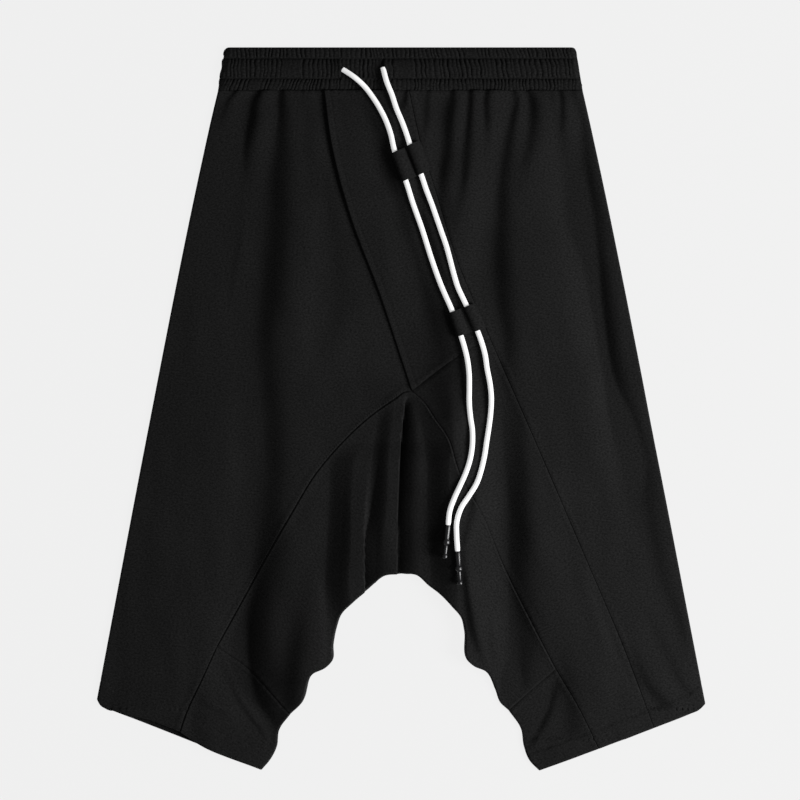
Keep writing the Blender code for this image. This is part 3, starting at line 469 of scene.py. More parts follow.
        (-84, 520, 6, 6, 0), (-79, 545, 7, 7, -0.12), (-74, 582, 6, 6, -0.25),
        (-73, 612, 5, 5, -0.15), (-72, 622, 4, 4, 0),
    ],
    "right hem crease 1": [
        (-181, 607, 2, 2.4, 0), (-172, 630, 3, 3.4, 0.4), (-164.5, 648, 3, 3.4, 0.5),
        (-150.5, 669, 3, 3.2, 0.52), (-140, 683, 2.4, 2.8, 0.45), (-134.5, 694, 2, 2.4, 0),
    ],
    "right hem crease 2": [
        (-204, 640, 5, 6, 0), (-196, 654, 6, 7, 0.2), (-180, 664, 6, 7, 0.22), (-168, 672, 5, 6, 0),
    ],
    "left hem crease 1": [
        (157, 628, 3, 3, 0), (152, 645, 5, 5, 0.42), (145, 664, 6, 6, 0.62),
        (138, 678, 6, 6, 0.62), (132, 690, 5, 5, 0.55), (127, 705, 4, 3, 0),
    ],
    "left hem crease 2": [
        (139, 640, 2, 2.4, 0), (134.5, 652, 2.8, 3, 0.45), (128, 674, 3, 3, 0.55),
        (123.5, 692, 2, 2, 0),
    ],
}
print(len(SOFT_FOLDS), "soft folds,", sum(map(len, SOFT_FOLDS.values())), "stations")

# %% How one fold lifts the cloth
DIES_OUT = 60.0  # square of the number of widths in which a fold sinks to a third


def smooth_between(drops, values, at):
    """Cubic spans through values given at some drops, level beyond both ends."""
    slopes = np.diff(values) / np.diff(drops)
    tangents = np.concatenate([slopes[:1], (slopes[:-1] + slopes[1:]) / 2, slopes[-1:]])
    at = np.clip(at, drops[0], drops[-1])
    k = np.clip(np.searchsorted(drops, at) - 1, 0, len(drops) - 2)
    span = drops[k + 1] - drops[k]
    t = (at - drops[k]) / span
    return (
        values[k] * (1 + 2 * t) * (1 - t) ** 2
        + values[k + 1] * t * t * (3 - 2 * t)
        + span * (tangents[k] * t * (1 - t) ** 2 - tangents[k + 1] * t * t * (1 - t))
    )


def soft_fold(rows, x, drop):
    """Height that one soft fold adds."""
    fold = Station(*np.array(rows, dtype=float).T)
    across = x - smooth_between(fold.drop, fold.x, drop)
    left = smooth_between(fold.drop, fold.left, drop)
    width = np.where(across < 0, left, smooth_between(fold.drop, fold.right, drop))
    slope = np.interp(drop, fold.drop, fold.slope, left=fold.slope[0], right=0.0)
    share = (across / width) ** 2
    return slope * across / (1 + share / 2) * np.exp(-share / DIES_OUT)


beside = soft_fold(SOFT_FOLDS["left long fold"], np.array([115.0]), np.array([200.0]))
print("the left long fold lifts the cloth beside it by", beside.round(1), "mm")

# %% [markdown]
# ## The gusset's pleats
#
# The gusset is cut much wider than the gap between the legs, so it falls in four deep pleats.
# They aren't soft folds. From left to right in the picture, the cloth climbs on to each ridge,
# and the dark side is the climb. At the two middle pleats it then breaks off and drops into a
# trench, and at the outer two it only steps up. So there are two more curves. A trench has a
# width for both of its sides, a depth, and two powers that say how crisp its sides are: below 1
# a side breaks off sharply at its rim, above 1 it rounds over. Where it falls off sharply, the
# cloth is also drawn back under its rim, so that it hangs upright. A step has a width and a
# rise, and small ones lift the right inner leg too. Beyond the gusset, on the wearer's left, all
# that the steps gained is given back in one long slope.

# %% Deep pleats and the slack of the gusset
Valley = namedtuple("Valley", "x drop fall wall depth")
PLEATS = {  # name: (curve of the left side, curve of the right side, stations)
    "right": (1.0, 2.0, [
        (-20, 385, 8, 14, 0), (-26, 430, 8, 20, 2), (-30, 452, 6, 22, 3), (-34, 492, 3, 28, 8),
        (-34.5, 520, 2.4, 31, 12.5), (-34.5, 545, 2.0, 31, 14), (-34.5, 690, 2.0, 31, 14),
    ]),
    "middle": (0.55, 2.0, [
        (6, 348, 2, 5, 0), (5.4, 356, 2, 9, 5), (2.8, 375, 1.8, 14, 10), (0.6, 400, 1.8, 19, 12),
        (-1.3, 434, 1.8, 21, 11.5), (-2.4, 480, 1.8, 22, 11), (-2.5, 540, 1.8, 21, 10.5),
    ]),
}
Step = namedtuple("Step", "x drop width rise")
STEPS = {
    "outer": [
        (-50, 330, 110, 0), (-52, 372, 80, 3.5), (-57, 395, 44, 4.5), (-59, 412, 24, 8.5),
        (-61, 452, 22, 11), (-62, 492, 24, 13), (-64, 532, 24, 13.8), (-61, 570, 26, 12),
        (-58, 610, 34, 9), (-55, 640, 40, 4), (-50, 690, 40, 1),
    ],
    "outer shoulder": [
        (-44, 395, 24, 0), (-45, 430, 24, 3), (-46, 470, 26, 5), (-48, 532, 28, 4),
        (-48, 570, 28, 2.6), (-48, 600, 28, 0), (-48, 690, 28, 0),
    ],
    "right": [
        (-13, 345, 12, 0), (-16, 372, 14, 4.5), (-20, 400, 16, 7.5), (-23, 452, 18, 7.5),
        (-26, 492, 16, 3), (-26, 532, 18, 0), (-26, 690, 18, 0),
    ],
    "middle": [
        (4.8, 345, 1.8, 0), (1.9, 375, 1.8, -4), (-0.3, 400, 1.8, -7.5), (-2.2, 434, 1.8, -13.5),
        (-3.3, 480, 1.8, -15), (-3.4, 540, 1.8, -12.5), (-3.4, 600, 1.8, -6),
        (-3.4, 690, 1.8, -0.5),
    ],
    "left": [
        (20, 315, 40, 0), (30, 350, 40, 6), (35, 372, 36, 13), (37, 392, 30, 13),
        (36.5, 412, 22, 12.5), (36.5, 452, 22, 12), (38, 492, 22, 11.5), (42, 535, 26, 12),
        (42, 580, 28, 10), (41, 640, 34, 3.5), (41, 690, 34, 1),
    ],
    "right inner leg": [
        (-204, 590, 26, 0), (-204, 615, 26, 1.2), (-203, 632, 24, 2.3), (-200, 660, 24, 3.1),
        (-197, 690, 24, 3.1),
    ],
    "right, by the leg": [
        (-96, 560, 34, 0), (-98, 600, 34, 2), (-98, 632, 32, 3), (-104, 655, 30, 3),
        (-112, 690, 30, 1.5), (-118, 700, 30, 0),
    ],
    "left shoulder": [
        (56, 395, 24, 0), (56, 420, 26, 2), (59, 460, 34, 3.5), (59, 492, 24, 3), (60, 520, 14, 2),
        (60, 545, 10, 0), (60, 690, 10, 0),
    ],
}
GIVEN_BACK = [  # (x, drop, width) of the long slope
    (74, 350, 52), (74, 372, 52), (80, 412, 46), (82, 452, 50), (82, 492, 50), (82, 532, 50),
    (82, 600, 50),
]
print(len(PLEATS), "trenches and", len(STEPS), "steps")

# %% How pleats and steps bend the cloth
TUCK = 0.9  # share of a fall's width that is drawn back under its rim
TUCK_EASE = 9.0  # distance in which the cloth beside it is back in its place
TUCK_WIDEST = 5.0  # a fall wider than this is a soft one and stays as it is


def ease(t):
    """0 to 1 with a level start and end."""
    t = np.clip(t, 0, 1)
    return t * t * (3 - 2 * t)


def valley_at(stations, x, drop):
    """Where places lie across a sharp pleat, and its fall, wall and depth at their drops."""
    valley = Valley(*np.array(stations, dtype=float).T)
    across = x - smooth_between(valley.drop, valley.x, drop)
    fall = np.interp(drop, valley.drop, valley.fall)
    wall = np.interp(drop, valley.drop, valley.wall)
    depth = np.interp(drop, valley.drop, valley.depth, left=0.0)
    return across, fall, wall, depth


def pleat(rows, x, drop):
    """Height that one sharp pleat takes away."""
    fall_curve, wall_curve, stations = rows
    across, fall, wall, depth = valley_at(stations, x, drop)
    climb = np.clip(1 - across / wall, 0, 1) ** wall_curve
    sink = np.clip(1 + across / fall, 0, 1) ** fall_curve
    return -depth * np.where(across > 0, climb, sink)


def tucked(grid):
    """Places of a grid with each pleat's fall drawn back under its rim, so it hangs upright."""
    x, drop = grid[..., 0], grid[..., 1]
    shift = np.zeros_like(x)
    for _, _, stations in PLEATS.values():
        across, fall, _, depth = valley_at(stations, x, drop)
        drawn = np.clip(1 + across / fall, 0, 1) * np.clip(1 - across / TUCK_EASE, 0, 1)
        sharp = np.clip((TUCK_WIDEST - fall) / 2, 0, 1)
        shift += TUCK * fall * drawn * sharp * np.clip(depth / 5.0, 0, 1)
    return grid - np.stack([shift, np.zeros_like(shift)], axis=-1)


def step_at(x, middle, width):
    """0 on the left of a step, 1 on its right: an even climb with its ends half rounded."""
    share = np.clip(0.5 + (x - middle) / width, 0, 1)
    return (share + ease(share)) / 2


def gusset_slack(x, drop):
    """Height of the gusset's slack, which lifts the seams around it too."""
    total = np.zeros_like(x)
    for rows in STEPS.values():
        step = Step(*np.array(rows, dtype=float).T)
        middle = smooth_between(step.drop, step.x, drop)
        rise = np.interp(drop, step.drop, step.rise, left=0.0)
        total += rise * step_at(x, middle, np.interp(drop, step.drop, step.width))
    middle, at, width = np.array(GIVEN_BACK, dtype=float).T
    return total * (1 - step_at(x, np.interp(drop, at, middle), np.interp(drop, at, width)))


print("deepest trench:", max(row[-1] for *_, rows in PLEATS.values() for row in rows), "mm")

# %% [markdown]
# ## Height of the cloth
#
# The front rests on the back at its sides and swells a few millimetres above it in the middle,
# because air stays between the layers. On that come the folds. No cloth is quite smooth between
# its folds either, so a few long weak waves with uneven directions are added. The waves are made
# from a seeded generator, which gives the same cloth on every run.

# %% The front as one height field
AIR = 0.8  # lift of the front off the back, just inside the roll
CROWN = 7.0  # further lift far from the sides
CROWN_REACH = 70.0  # distance in which most of that lift is gained
WAIST_LIFT = 2.2  # lift of the front panels where they join the band
WAIST_EASE = 45.0  # drop over which the panels swell from the band to full lift
LEAST_LIFT = 0.5  # the front never sinks closer than this to the back
WAVES = [(18, 0.06, 34.0), (12, 0.10, 75.0)]  # (how many, height of each, wavelength)
WAVE_SPREAD = (0.7, 1.4)  # a wave may be this much shorter or longer than that


def make_waves():
    """Directions, phases and heights of weak waves, longer down the cloth than across it."""
    draw = np.random.default_rng(7)
    waves = []
    for count, height, wavelength in WAVES:
        for _ in range(count):
            length = wavelength * draw.uniform(*WAVE_SPREAD)
            lean = draw.normal(0.0, 0.45)
            phase = draw.uniform(0, 2 * math.pi)
            waves.append((2 * math.pi / length, lean, phase, height * draw.uniform(0.5, 1.0)))
    return waves


waves = make_waves()


def unevenness(x, drop):
    """What the weak waves add: mostly ripples that run down the cloth."""
    total = np.zeros_like(x)
    for pace, lean, phase, height in waves:
        total += height * np.sin(pace * (x + lean * drop) + phase)
    return total


def front_lift(places):
    """Height of the underside of the front above the back, before its edges are finished."""
    x, drop = places[..., 0], places[..., 1]
    edge = to_folded_edge(places)[0]
    swell = AIR + CROWN * (1 - np.exp(-edge / CROWN_REACH))
    waist = ease((drop - BAND_DEPTH) / WAIST_EASE)
    lift = WAIST_LIFT + (swell - WAIST_LIFT) * waist + gusset_slack(x, drop)
    for rows in SOFT_FOLDS.values():
        lift = lift + soft_fold(rows, x, drop)
    for rows in PLEATS.values():
        lift = lift + pleat(rows, x, drop)
    lift = lift + unevenness(x, drop) * ease(edge / 12.0)
    return LEAST_LIFT + np.logaddexp(0, (lift - LEAST_LIFT) * 2.0) / 2.0, edge


samples = np.array([(-120.0, 200.0), (0.0, 450.0), (100.0, 200.0)])
print("lift at three places, mm:", front_lift(samples)[0].round(1))

# %% [markdown]
# ## Seams, folds and hems
#
# A seam pulls the cloth down to a thin dark line, and the cloth puffs up beside it in small
# uneven puckers. The seams round the gusset and the inner legs are pressed to one side and
# stitched again, so a narrow ridge runs beside them, on the side of the gusset and of the right
# inner leg. A hem is two layers, with a line of stitches sunk in where the turned layer ends.
# The overlay's edge is a fold, so it stands two layers high and throws a shadow on the panel
# under it. Sines of a few lengths that don't fit together stand for chance along each seam.

# %% How edges are finished
GROOVE = (0.65, 0.5)  # depth of a seam, and its half-width
PUFF = (0.30, 3.2, 2.2)  # height of the puff beside a seam, its place and its half-width
PUCKER = (0.16, 7.5, 4.0)  # height of the puckers, their pitch and how far they reach
RIDGE = (0.45, 1.6, 0.6)  # stitched allowance: height, distance from the seam, half-width
HEM_STEP = (0.7, 2.0)  # how much the turned layer lifts the hem, and in what width
HEM_GROOVE = (0.9, 0.7)  # depth of the hem's stitch line, and its half-width
HEM_RHYTHMS = (3.2, 11.0)  # lengths of those puckers: the stitches, and a slower one
HEM_EDGE = (0.5, 0.8)  # the hem's edge rounds down: how far, and in what width
LAP_STEP = [(43, 3.2), (70, 4.6), (120, 4.8), (170, 3.6), (260, 2.6), (343, 1.8)]  # (drop, step)
LAP_EASE = 60.0  # distance in which most of the overlay's step dies out
LAP_REST = 0.35  # share of it that would be left far away
LAP_EDGE = (0.9, 1.2)  # the overlay's fold rounds down: how far, and in what width
EDGE_STITCH = (3.1, 0.4, 0.7)  # sunk line beside the overlay's edge: place, depth, half-width
TAPED = ("gusset", "leg_inner_right")  # panels that carry the stitched ridge


def bump(distance, centre, half_width):
    """1 at the centre, dying out on both sides."""
    return np.exp(-(((distance - centre) / half_width) ** 2))


def rounded_off(distance, rounding):
    """How far an edge has rounded away at a distance from it; rounding is (depth, width)."""
    depth, width = rounding
    return depth * np.clip(1 - distance / width, 0, 1) ** 2


print("a fold's edge rounds down by", rounded_off(0.0, LAP_EDGE), "mm")

# %% The upper face of the front
def seam_relief(gap, along, ridge=False):
    """Height of a seam's groove, puff and puckers, and of its stitched ridge."""
    uneven = 1 + 0.5 * np.sin(along / 23 + 1) + 0.3 * np.sin(along / 9.1)
    relief = -GROOVE[0] * bump(gap, 0, GROOVE[1]) + PUFF[0] * bump(gap, PUFF[1], PUFF[2]) * uneven
    pucker = np.sin(2 * math.pi * along / PUCKER[1] + 1.5 * np.sin(along / 17))
    relief = relief + PUCKER[0] * uneven * pucker * np.exp(-gap / PUCKER[2])
    if ridge:
        relief = relief + RIDGE[0] * bump(gap, RIDGE[1], RIDGE[2])
    return relief


def hem_relief(gap, along):
    """Height that the hem's second layer adds, with its sunk line of stitches."""
    lift, width = HEM_STEP
    relief = lift * ease((HEM_DEPTH + width / 2 - gap) / width)
    relief = relief - HEM_GROOVE[0] * bump(gap, HEM_DEPTH, HEM_GROOVE[1])
    stitches, slower = (2 * math.pi * along / length for length in HEM_RHYTHMS)
    pucker = np.sin(stitches) + np.sin(slower + 2)
    relief = relief + 0.07 * pucker * np.exp(-np.abs(gap - HEM_DEPTH) / 4.0)
    return relief - rounded_off(gap, HEM_EDGE)


def front_top(places, panel=""):
    """Height of the upper face of the front at some places of one of its panels."""
    places = np.asarray(places, dtype=float)
    lift, edge = front_lift(places)
    turn = np.clip(edge / ROLL, 0, 1)
    calm = ease(turn)
    top = CLOTH + SEAM_GAP + (lift + CLOTH) * np.sqrt(1 - (1 - turn) ** 2)
    top = top + seam_relief(*to_plain_seam(places)) * calm
    top = top + seam_relief(*to_taped_seam(places), ridge=panel in TAPED) * calm
    top = top + hem_relief(*to_hem(places)) * calm
    gap, _ = to_overlay(places)
    line, depth, half_width = EDGE_STITCH
    if panel == "front_centre":
        drops, steps = np.array(LAP_STEP, dtype=float).T
        step = np.interp(places[..., 1], drops, steps)
        near = LAP_REST + (1 - LAP_REST) * np.exp(-gap / LAP_EASE)
        top = top + step * near * ease(1 - (gap - 15.0) / 75.0)
        top = top - rounded_off(gap, LAP_EDGE)
        top = top - depth * bump(gap, line + 3.0, half_width)
    elif panel == "front_right":
        lower = ease((places[..., 1] - 215.0) / 60.0)
        top = top - depth * bump(gap, line, half_width) * lower
    return top


print("upper face at three places, mm:", front_top(samples).round(1))

# %% [markdown]
# ## From places to a mesh
#
# A panel is a grid between four edges. Its rows and columns stand one to three millimetres apart,
# and closer beside seams and folded sides, where the cloth turns quickly. The grid is the outer
# face. Solidify gives it the cloth's thickness on the inside, and a vertex group doubles that
# where a hem or a fold is turned under. Each point also remembers its place on the cloth in
# millimetres, turned to the direction of the knit, so that the material's stitches follow the
# grain of each panel whatever way it was cut.

# %% Grids of places
BESIDE = {  # distances of the extra columns or rows beside an edge
    "sewn": (0.0, 0.35, 0.7, 1.1, 1.5, 1.9, 2.5, 3.4, 4.8),
    "folded": (0.0, 0.12, 0.45, 1.0, 1.8, 2.8, 4.0, 5.4),
    "plain": (0.0,),
}


def spacing(length, step, start="plain", end="plain", count=None):
    """Fractions of a length: close beside its special ends, even in the middle."""
    first = np.array(BESIDE[start])
    last = length - np.array(BESIDE[end])[::-1]
    room = last[0] - first[-1]
    count = count or max(2, round(room / step))
    middle = first[-1] + room * np.linspace(0, 1, count + 1)[1:-1]
    return np.concatenate([first, middle, last]) / length


def patch(left, right, top, bottom, step, sides):
    """A grid of (x, drop) between four edges: rows run from the left edge to the right one.

    The top or the bottom is None where a straight row will do.
    """
    widths = np.linalg.norm(right - left, axis=1)
    count = max(2, round(widths.mean() / step))
    across = np.array([spacing(width, step, *sides, count=count) for width in widths])
    grid = left[:, None] * (1 - across[..., None]) + right[:, None] * across[..., None]
    down = distances((left + right) / 2)
    down = (down / down[-1])[:, None, None]
    if top is not None:
        grid = grid + (top.at(across[0]) - grid[0])[None] * (1 - down) ** 3
    if bottom is not None:
        grid = grid + (bottom.at(across[-1]) - grid[-1])[None] * down ** 3
    return grid


def joined(*runs):
    """Runs of points end to end, each shared end once."""
    return np.vstack([runs[0]] + [run[1:] for run in runs[1:]])


print("columns beside a seam, mm:", BESIDE["sewn"])

# %% Meshes and shells
CREASE_ANGLE = 62.0  # degrees; an edge sharper than this is shaded as an edge
total_triangles = 0


def counted(mesh):
    """Add a mesh's triangles to the total, and return how many there are."""
    global total_triangles
    mesh.calc_loop_triangles()
    total_triangles += len(mesh.loop_triangles)
    return len(mesh.loop_triangles)


def face_outwards(mesh):
    """Turn the faces of a closed mesh outwards."""
    bm = bmesh.new()
    bm.from_mesh(mesh)
    bmesh.ops.recalc_face_normals(bm, faces=bm.faces)
    bm.to_mesh(mesh)
    bm.free()


def link(name, data, material):
    """Show a mesh as a named piece that rides on the garment's only body."""
    data.materials.append(material)
    piece = bpy.data.objects.new(name, data)
    bpy.context.scene.collection.objects.link(piece)
    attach(piece, "root")
    return piece


def grid_mesh(name, grid, heights, grain=0.0, facing=1):
    """A mesh of a grid's quads that face up, or down where facing is -1."""
    rows, columns = heights.shape
    places = np.dstack([grid, heights]).reshape(-1, 3)
    k = np.arange(rows * columns).reshape(rows, columns)
    quads = np.stack([k[:-1, :-1], k[:-1, 1:], k[1:, 1:], k[1:, :-1]], axis=-1).reshape(-1, 4)
    points = to_metres(places)
    ahead, aside = points[1] - points[0], points[columns] - points[0]
    if np.cross(ahead, aside)[2] * facing < 0:
        quads = quads[:, ::-1]
    mesh = bpy.data.meshes.new(name)
    mesh.from_pydata(points.tolist(), [], quads.tolist())
    mesh.shade_smooth()
    turn = math.radians(grain)
    x, drop = places[:, 0], places[:, 1]
    wale = np.stack([
        x * math.cos(turn) + drop * math.sin(turn),
        drop * math.cos(turn) - x * math.sin(turn),
        np.zeros_like(x),
    ], axis=1)
    knit = mesh.attributes.new("knit", "FLOAT_VECTOR", "POINT")
    knit.data.foreach_set("vector", wale.astype(np.float32).ravel())
    return mesh


def thicken(piece, thickness, doubled=None):
    """Give a surface its thickness on the inside; doubled says where two layers lie."""
    shell = piece.modifiers.new("cloth thickness", "SOLIDIFY")
    shell.thickness = thickness * MM
    shell.offset = -1.0
    if doubled is not None:
        layers = piece.vertex_groups.new(name="turned under")
        shell.thickness = 2 * thickness * MM
        shell.vertex_group = layers.name
        shell.thickness_vertex_group = 0.5
        for k in np.flatnonzero(doubled.ravel()):
            layers.add([int(k)], 1.0, "REPLACE")
    return piece


def settle(piece):
    """Turn a piece's modifiers into mesh, with crisp shading at its rims only."""
    view = bpy.context.evaluated_depsgraph_get()
    shape = bpy.data.meshes.new_from_object(piece.evaluated_get(view))
    shape.set_sharp_from_angle(angle=math.radians(CREASE_ANGLE))
    piece.modifiers.clear()
    piece.data = shape
    print(f"{piece.name}: {counted(shape)} triangles")
    return piece


print("a turned edge is", 2 * CLOTH, "mm thick")

# %% [markdown]
# ## Colours and nodes
#
# A colour is written as the hex value that a picture editor shows, because that is what the eye
# compares. Blender's shaders add light, so they need the linear value, and one function does
# that. One more function adds a node, sets its settings and fills its inputs. It makes a link
# where it is given another node's output.

# %% Colour and node helpers
def linear(hex_colour, alpha=1.0):
    """An sRGB hex colour as linear red, green, blue and alpha."""
    levels = [int(hex_colour[k:k + 2], 16) / 255 for k in (1, 3, 5)]
    return (*[v / 12.92 if v <= 0.04045 else ((v + 0.055) / 1.055) ** 2.4 for v in levels], alpha)


def add_node(tree, kind, settings=None, inputs=None):
    """A new node with its settings, its input values and its links."""
    node = tree.nodes.new("ShaderNode" + kind)
    for name, value in (settings or {}).items():
        setattr(node, name, value)
    for name, value in (inputs or {}).items():
        if isinstance(value, bpy.types.NodeSocket):
            tree.links.new(value, node.inputs[name])
        else:
            node.inputs[name].default_value = value
    return node


def new_material(name, **finish):
    """A material with its Principled BSDF's own sockets set, and that shader."""
    material = bpy.data.materials.new(name)
    material.use_nodes = True
    shader = material.node_tree.nodes["Principled BSDF"]
    for socket, value in finish.items():
        shader.inputs[socket.replace("_", " ")].default_value = value
    return material, shader


print("black cloth in linear light:", [round(v, 4) for v in linear("#1c1c1c")])

# %% [markdown]
# ## Black French terry
#
# French terry is a cotton jersey with loops on its inside. Outside it is a plain knit: columns
# of small V stitches, about a millimetre wide, that run down the garment. Dyed black and washed a
# few times it is matt. The eye gets it from the speckle of uneven yarn, a soft fuzz of fibre
# ends, and a slightly uneven dye. All of them are read from the place on the cloth that each
# panel carries, so the columns turn with the cut.

# %% French terry material
WALE = 1.25  # drawn width of a knit column; the real 0.9 mm is under a pixel
COURSE = 1.0  # drawn height of a stitch
SPECKLE = (0.46, 0.60, 1.0)  # per mm: slubs of the yarn, 2.2 mm along a row, 1.7 mm high
DYE = 0.030  # per mm: patches of the dye are about 30 mm across
FUZZ = 1.6  # per mm: fibre ends stand about 0.6 mm apart


def knit_material(name, dark, pale, relief=0.10):
    """A matt cotton knit between two colours; relief is the depth of its stitches in mm."""
    material, shader = new_material(
        name, Roughness=0.92, Specular_IOR_Level=0.05, Sheen_Weight=0.02, Sheen_Roughness=0.55,
        Sheen_Tint=linear("#9c9c9c"),
    )
    tree = material.node_tree
    place = add_node(tree, "Attribute", {"attribute_name": "knit"}).outputs["Vector"]
    stretched = add_node(tree, "VectorMath", {"operation": "MULTIPLY"}, {0: place, 1: SPECKLE})
    slubs = add_node(
        tree, "TexNoise", None,
        {"Vector": stretched.outputs[0], "Scale": 1.0, "Detail": 3.0, "Roughness": 0.65},
    )
    dye = add_node(tree, "TexNoise", None, {"Vector": place, "Scale": DYE, "Detail": 3.0})
    fuzz = add_node(
        tree, "TexNoise", None,
        {"Vector": place, "Scale": FUZZ, "Detail": 3.0, "Roughness": 0.7},
    )
    tone = add_node(
        tree, "Mix", {"data_type": "FLOAT"},
        {0: 0.94, 2: dye.outputs[0], 3: slubs.outputs[0]},
    )
    mottled = add_node(
        tree, "Mix", {"data_type": "FLOAT"},
        {0: 0.35, 2: tone.outputs[0], 3: fuzz.outputs[0]},
    )
    ramp = add_node(tree, "ValToRGB", None, {0: mottled.outputs[0]})
    ramp.color_ramp.elements[0].position = 0.38
    ramp.color_ramp.elements[0].color = linear(dark)
    ramp.color_ramp.elements[1].position = 0.62
    ramp.color_ramp.elements[1].color = linear(pale)
    tree.links.new(ramp.outputs[0], shader.inputs["Base Color"])

    axes = add_node(tree, "SeparateXYZ", None, {0: place})
    half_turn = add_node(
        tree, "Math", {"operation": "MULTIPLY"}, {0: axes.outputs[0], 1: math.pi / WALE},
    )
    columns = add_node(tree, "Math", {"operation": "SINE"}, {0: half_turn.outputs[0]})
    rounded = add_node(tree, "Math", {"operation": "ABSOLUTE"}, {0: columns.outputs[0]})
    rows = add_node(
        tree, "Math", {"operation": "MULTIPLY"}, {0: axes.outputs[1], 1: 2 * math.pi / COURSE},
    )
    slant = add_node(
        tree, "Math", {"operation": "MULTIPLY_ADD"},
        {0: rounded.outputs[0], 1: 2.2, 2: rows.outputs[0]},
    )
    loops = add_node(tree, "Math", {"operation": "SINE"}, {0: slant.outputs[0]})
    stitches = add_node(
        tree, "Math", {"operation": "MULTIPLY_ADD"},
        {0: loops.outputs[0], 1: 0.3, 2: rounded.outputs[0]},
    )
    knit = add_node(
        tree, "Bump", None,
        {"Strength": 0.35, "Distance": relief * MM, "Height": stitches.outputs[0]},
    )
    nap = add_node(
        tree, "Bump", None,
        {
            "Strength": 0.6, "Distance": 0.3 * MM, "Height": fuzz.outputs[0],
            "Normal": knit.outputs[0],
        },
    )
    tree.links.new(nap.outputs[0], shader.inputs["Normal"])
    return material


french_terry = knit_material("black French terry", "#0c0c0c", "#1f1f1f")
# painted shade: the band is the same black cloth as the terry, drawn a little darker for the shade
# between its gathers
band_jersey_shaded = knit_material("black jersey over elastic", "#080808", "#1d1d1d", relief=0.08)
back_terry = knit_material("black French terry, back", "#0c0c0c", "#1f1f1f")
print("knit materials:", french_terry.name, "and", band_jersey_shaded.name)

# %% [markdown]
# ## Thread, cord and tips
#
# The garment is sewn with black polyester thread, which is smoother than cotton and catches a
# small light on each stitch. The drawcord is braided from bleached cotton yarn: very matt, almost
# white, with soft grey painted as shade between its strands. The tips are moulded black plastic.
# Only they give sharp reflections, which is why the eye finds them at once.

# %% Materials of the small parts
def thread_material():
    material, shader = new_material(
        "black polyester thread", Roughness=0.6, Specular_IOR_Level=0.12,
    )
    tree = material.node_tree
    place = add_node(tree, "TexCoord").outputs["Object"]
    twist = add_node(
        tree, "TexNoise", None, {"Vector": place, "Scale": 1 / (0.25 * MM), "Detail": 2.0},
    )
    ramp = add_node(tree, "ValToRGB", None, {0: twist.outputs[0]})
    ramp.color_ramp.elements[0].color = linear("#0d0d0d")
    ramp.color_ramp.elements[1].color = linear("#262626")
    tree.links.new(ramp.outputs[0], shader.inputs["Base Color"])
    bump = add_node(
        tree, "Bump", None, {"Strength": 0.5, "Distance": 0.05 * MM, "Height": twist.outputs[0]},
    )
    tree.links.new(bump.outputs[0], shader.inputs["Normal"])
    return material


def cord_material():
    """Bleached cotton: yarn fibres as fine noise over the braid, which is in the mesh.

    An emission, a painted glow, makes it shine a little by itself, so even the shaded side looks
    white.
    """
    # Emission Strength is a painted glow: the cord is no lamp.
    material, shader = new_material(
        "bleached cotton braid", Roughness=0.9, Specular_IOR_Level=0.3, Sheen_Weight=0.15,
        Sheen_Roughness=0.5, Emission_Color=linear("#ffffff"), Emission_Strength=0.42,
    )
    tree = material.node_tree
    place = add_node(tree, "Attribute", {"attribute_name": "yarn"}).outputs["Vector"]
    depth = add_node(tree, "SeparateXYZ", None, {0: place})
    fibre = add_node(tree, "TexNoise", None, {"Vector": place, "Scale": 2.2, "Detail": 4.0})
    # painted shade: the braid's depth greys the cord between its strands; the fibre noise is its real
    # uneven tone
    tone = add_node(
        tree, "Math", {"operation": "MULTIPLY_ADD"},
        {0: fibre.outputs[0], 1: 0.35, 2: depth.outputs[2]},
    )
    ramp = add_node(tree, "ValToRGB", None, {0: tone.outputs[0]})
    ramp.color_ramp.elements[0].position = 0.10
    ramp.color_ramp.elements[0].color = linear("#a8a8a9")
    ramp.color_ramp.elements[1].position = 0.75
    ramp.color_ramp.elements[1].color = linear("#cdcdcc")
    tree.links.new(ramp.outputs[0], shader.inputs["Base Color"])
    bump = add_node(
        tree, "Bump", None, {"Strength": 0.5, "Distance": 0.12 * MM, "Height": fibre.outputs[0]},
    )
    tree.links.new(bump.outputs[0], shader.inputs["Normal"])
    return material


def plastic_material():
    """Moulded ABS: glossy, with the slight waviness that a mould leaves."""
    material, shader = new_material(
        "moulded black ABS", Base_Color=linear("#0d0d0e"), Roughness=0.22, IOR=1.54,
    )
    tree = material.node_tree
    place = add_node(tree, "TexCoord").outputs["Object"]
    wave = add_node(tree, "TexNoise", None, {"Vector": place, "Scale": 1 / (3 * MM), "Detail": 2.0})
    scuff = add_node(
        tree, "TexNoise", None, {"Vector": place, "Scale": 1 / (0.4 * MM), "Detail": 5.0},
    )
    rough = add_node(
        tree, "MapRange", None,
        {
            "Value": scuff.outputs[0], "From Min": 0.35, "From Max": 0.7, "To Min": 0.28,
            "To Max": 0.42,
        },
    )
    tree.links.new(rough.outputs[0], shader.inputs["Roughness"])
    ramp = add_node(tree, "ValToRGB", None, {0: wave.outputs[0]})
    ramp.color_ramp.elements[0].color = linear("#0a0a0b")
    ramp.color_ramp.elements[1].color = linear("#141416")
    tree.links.new(ramp.outputs[0], shader.inputs["Base Color"])
    bump = add_node(
        tree, "Bump", None, {"Strength": 0.05, "Distance": 0.1 * MM, "Height": wave.outputs[0]},
    )
    tree.links.new(bump.outputs[0], shader.inputs["Normal"])
    return material


thread = thread_material()
cotton_braid = cord_material()
black_plastic = plastic_material()
print("small parts:", thread.name, "/", cotton_braid.name, "/", black_plastic.name)

# %% [markdown]
# ## The front panels
#
# Six panels and the gusset make the front. Each is laid out between its own seams: rows run
# from one long edge to the other, and where a panel has a new neighbour, as at the foot of the
# overlay, a row starts exactly there. The right front runs a few millimetres on under the
# overlay, as the real one does.

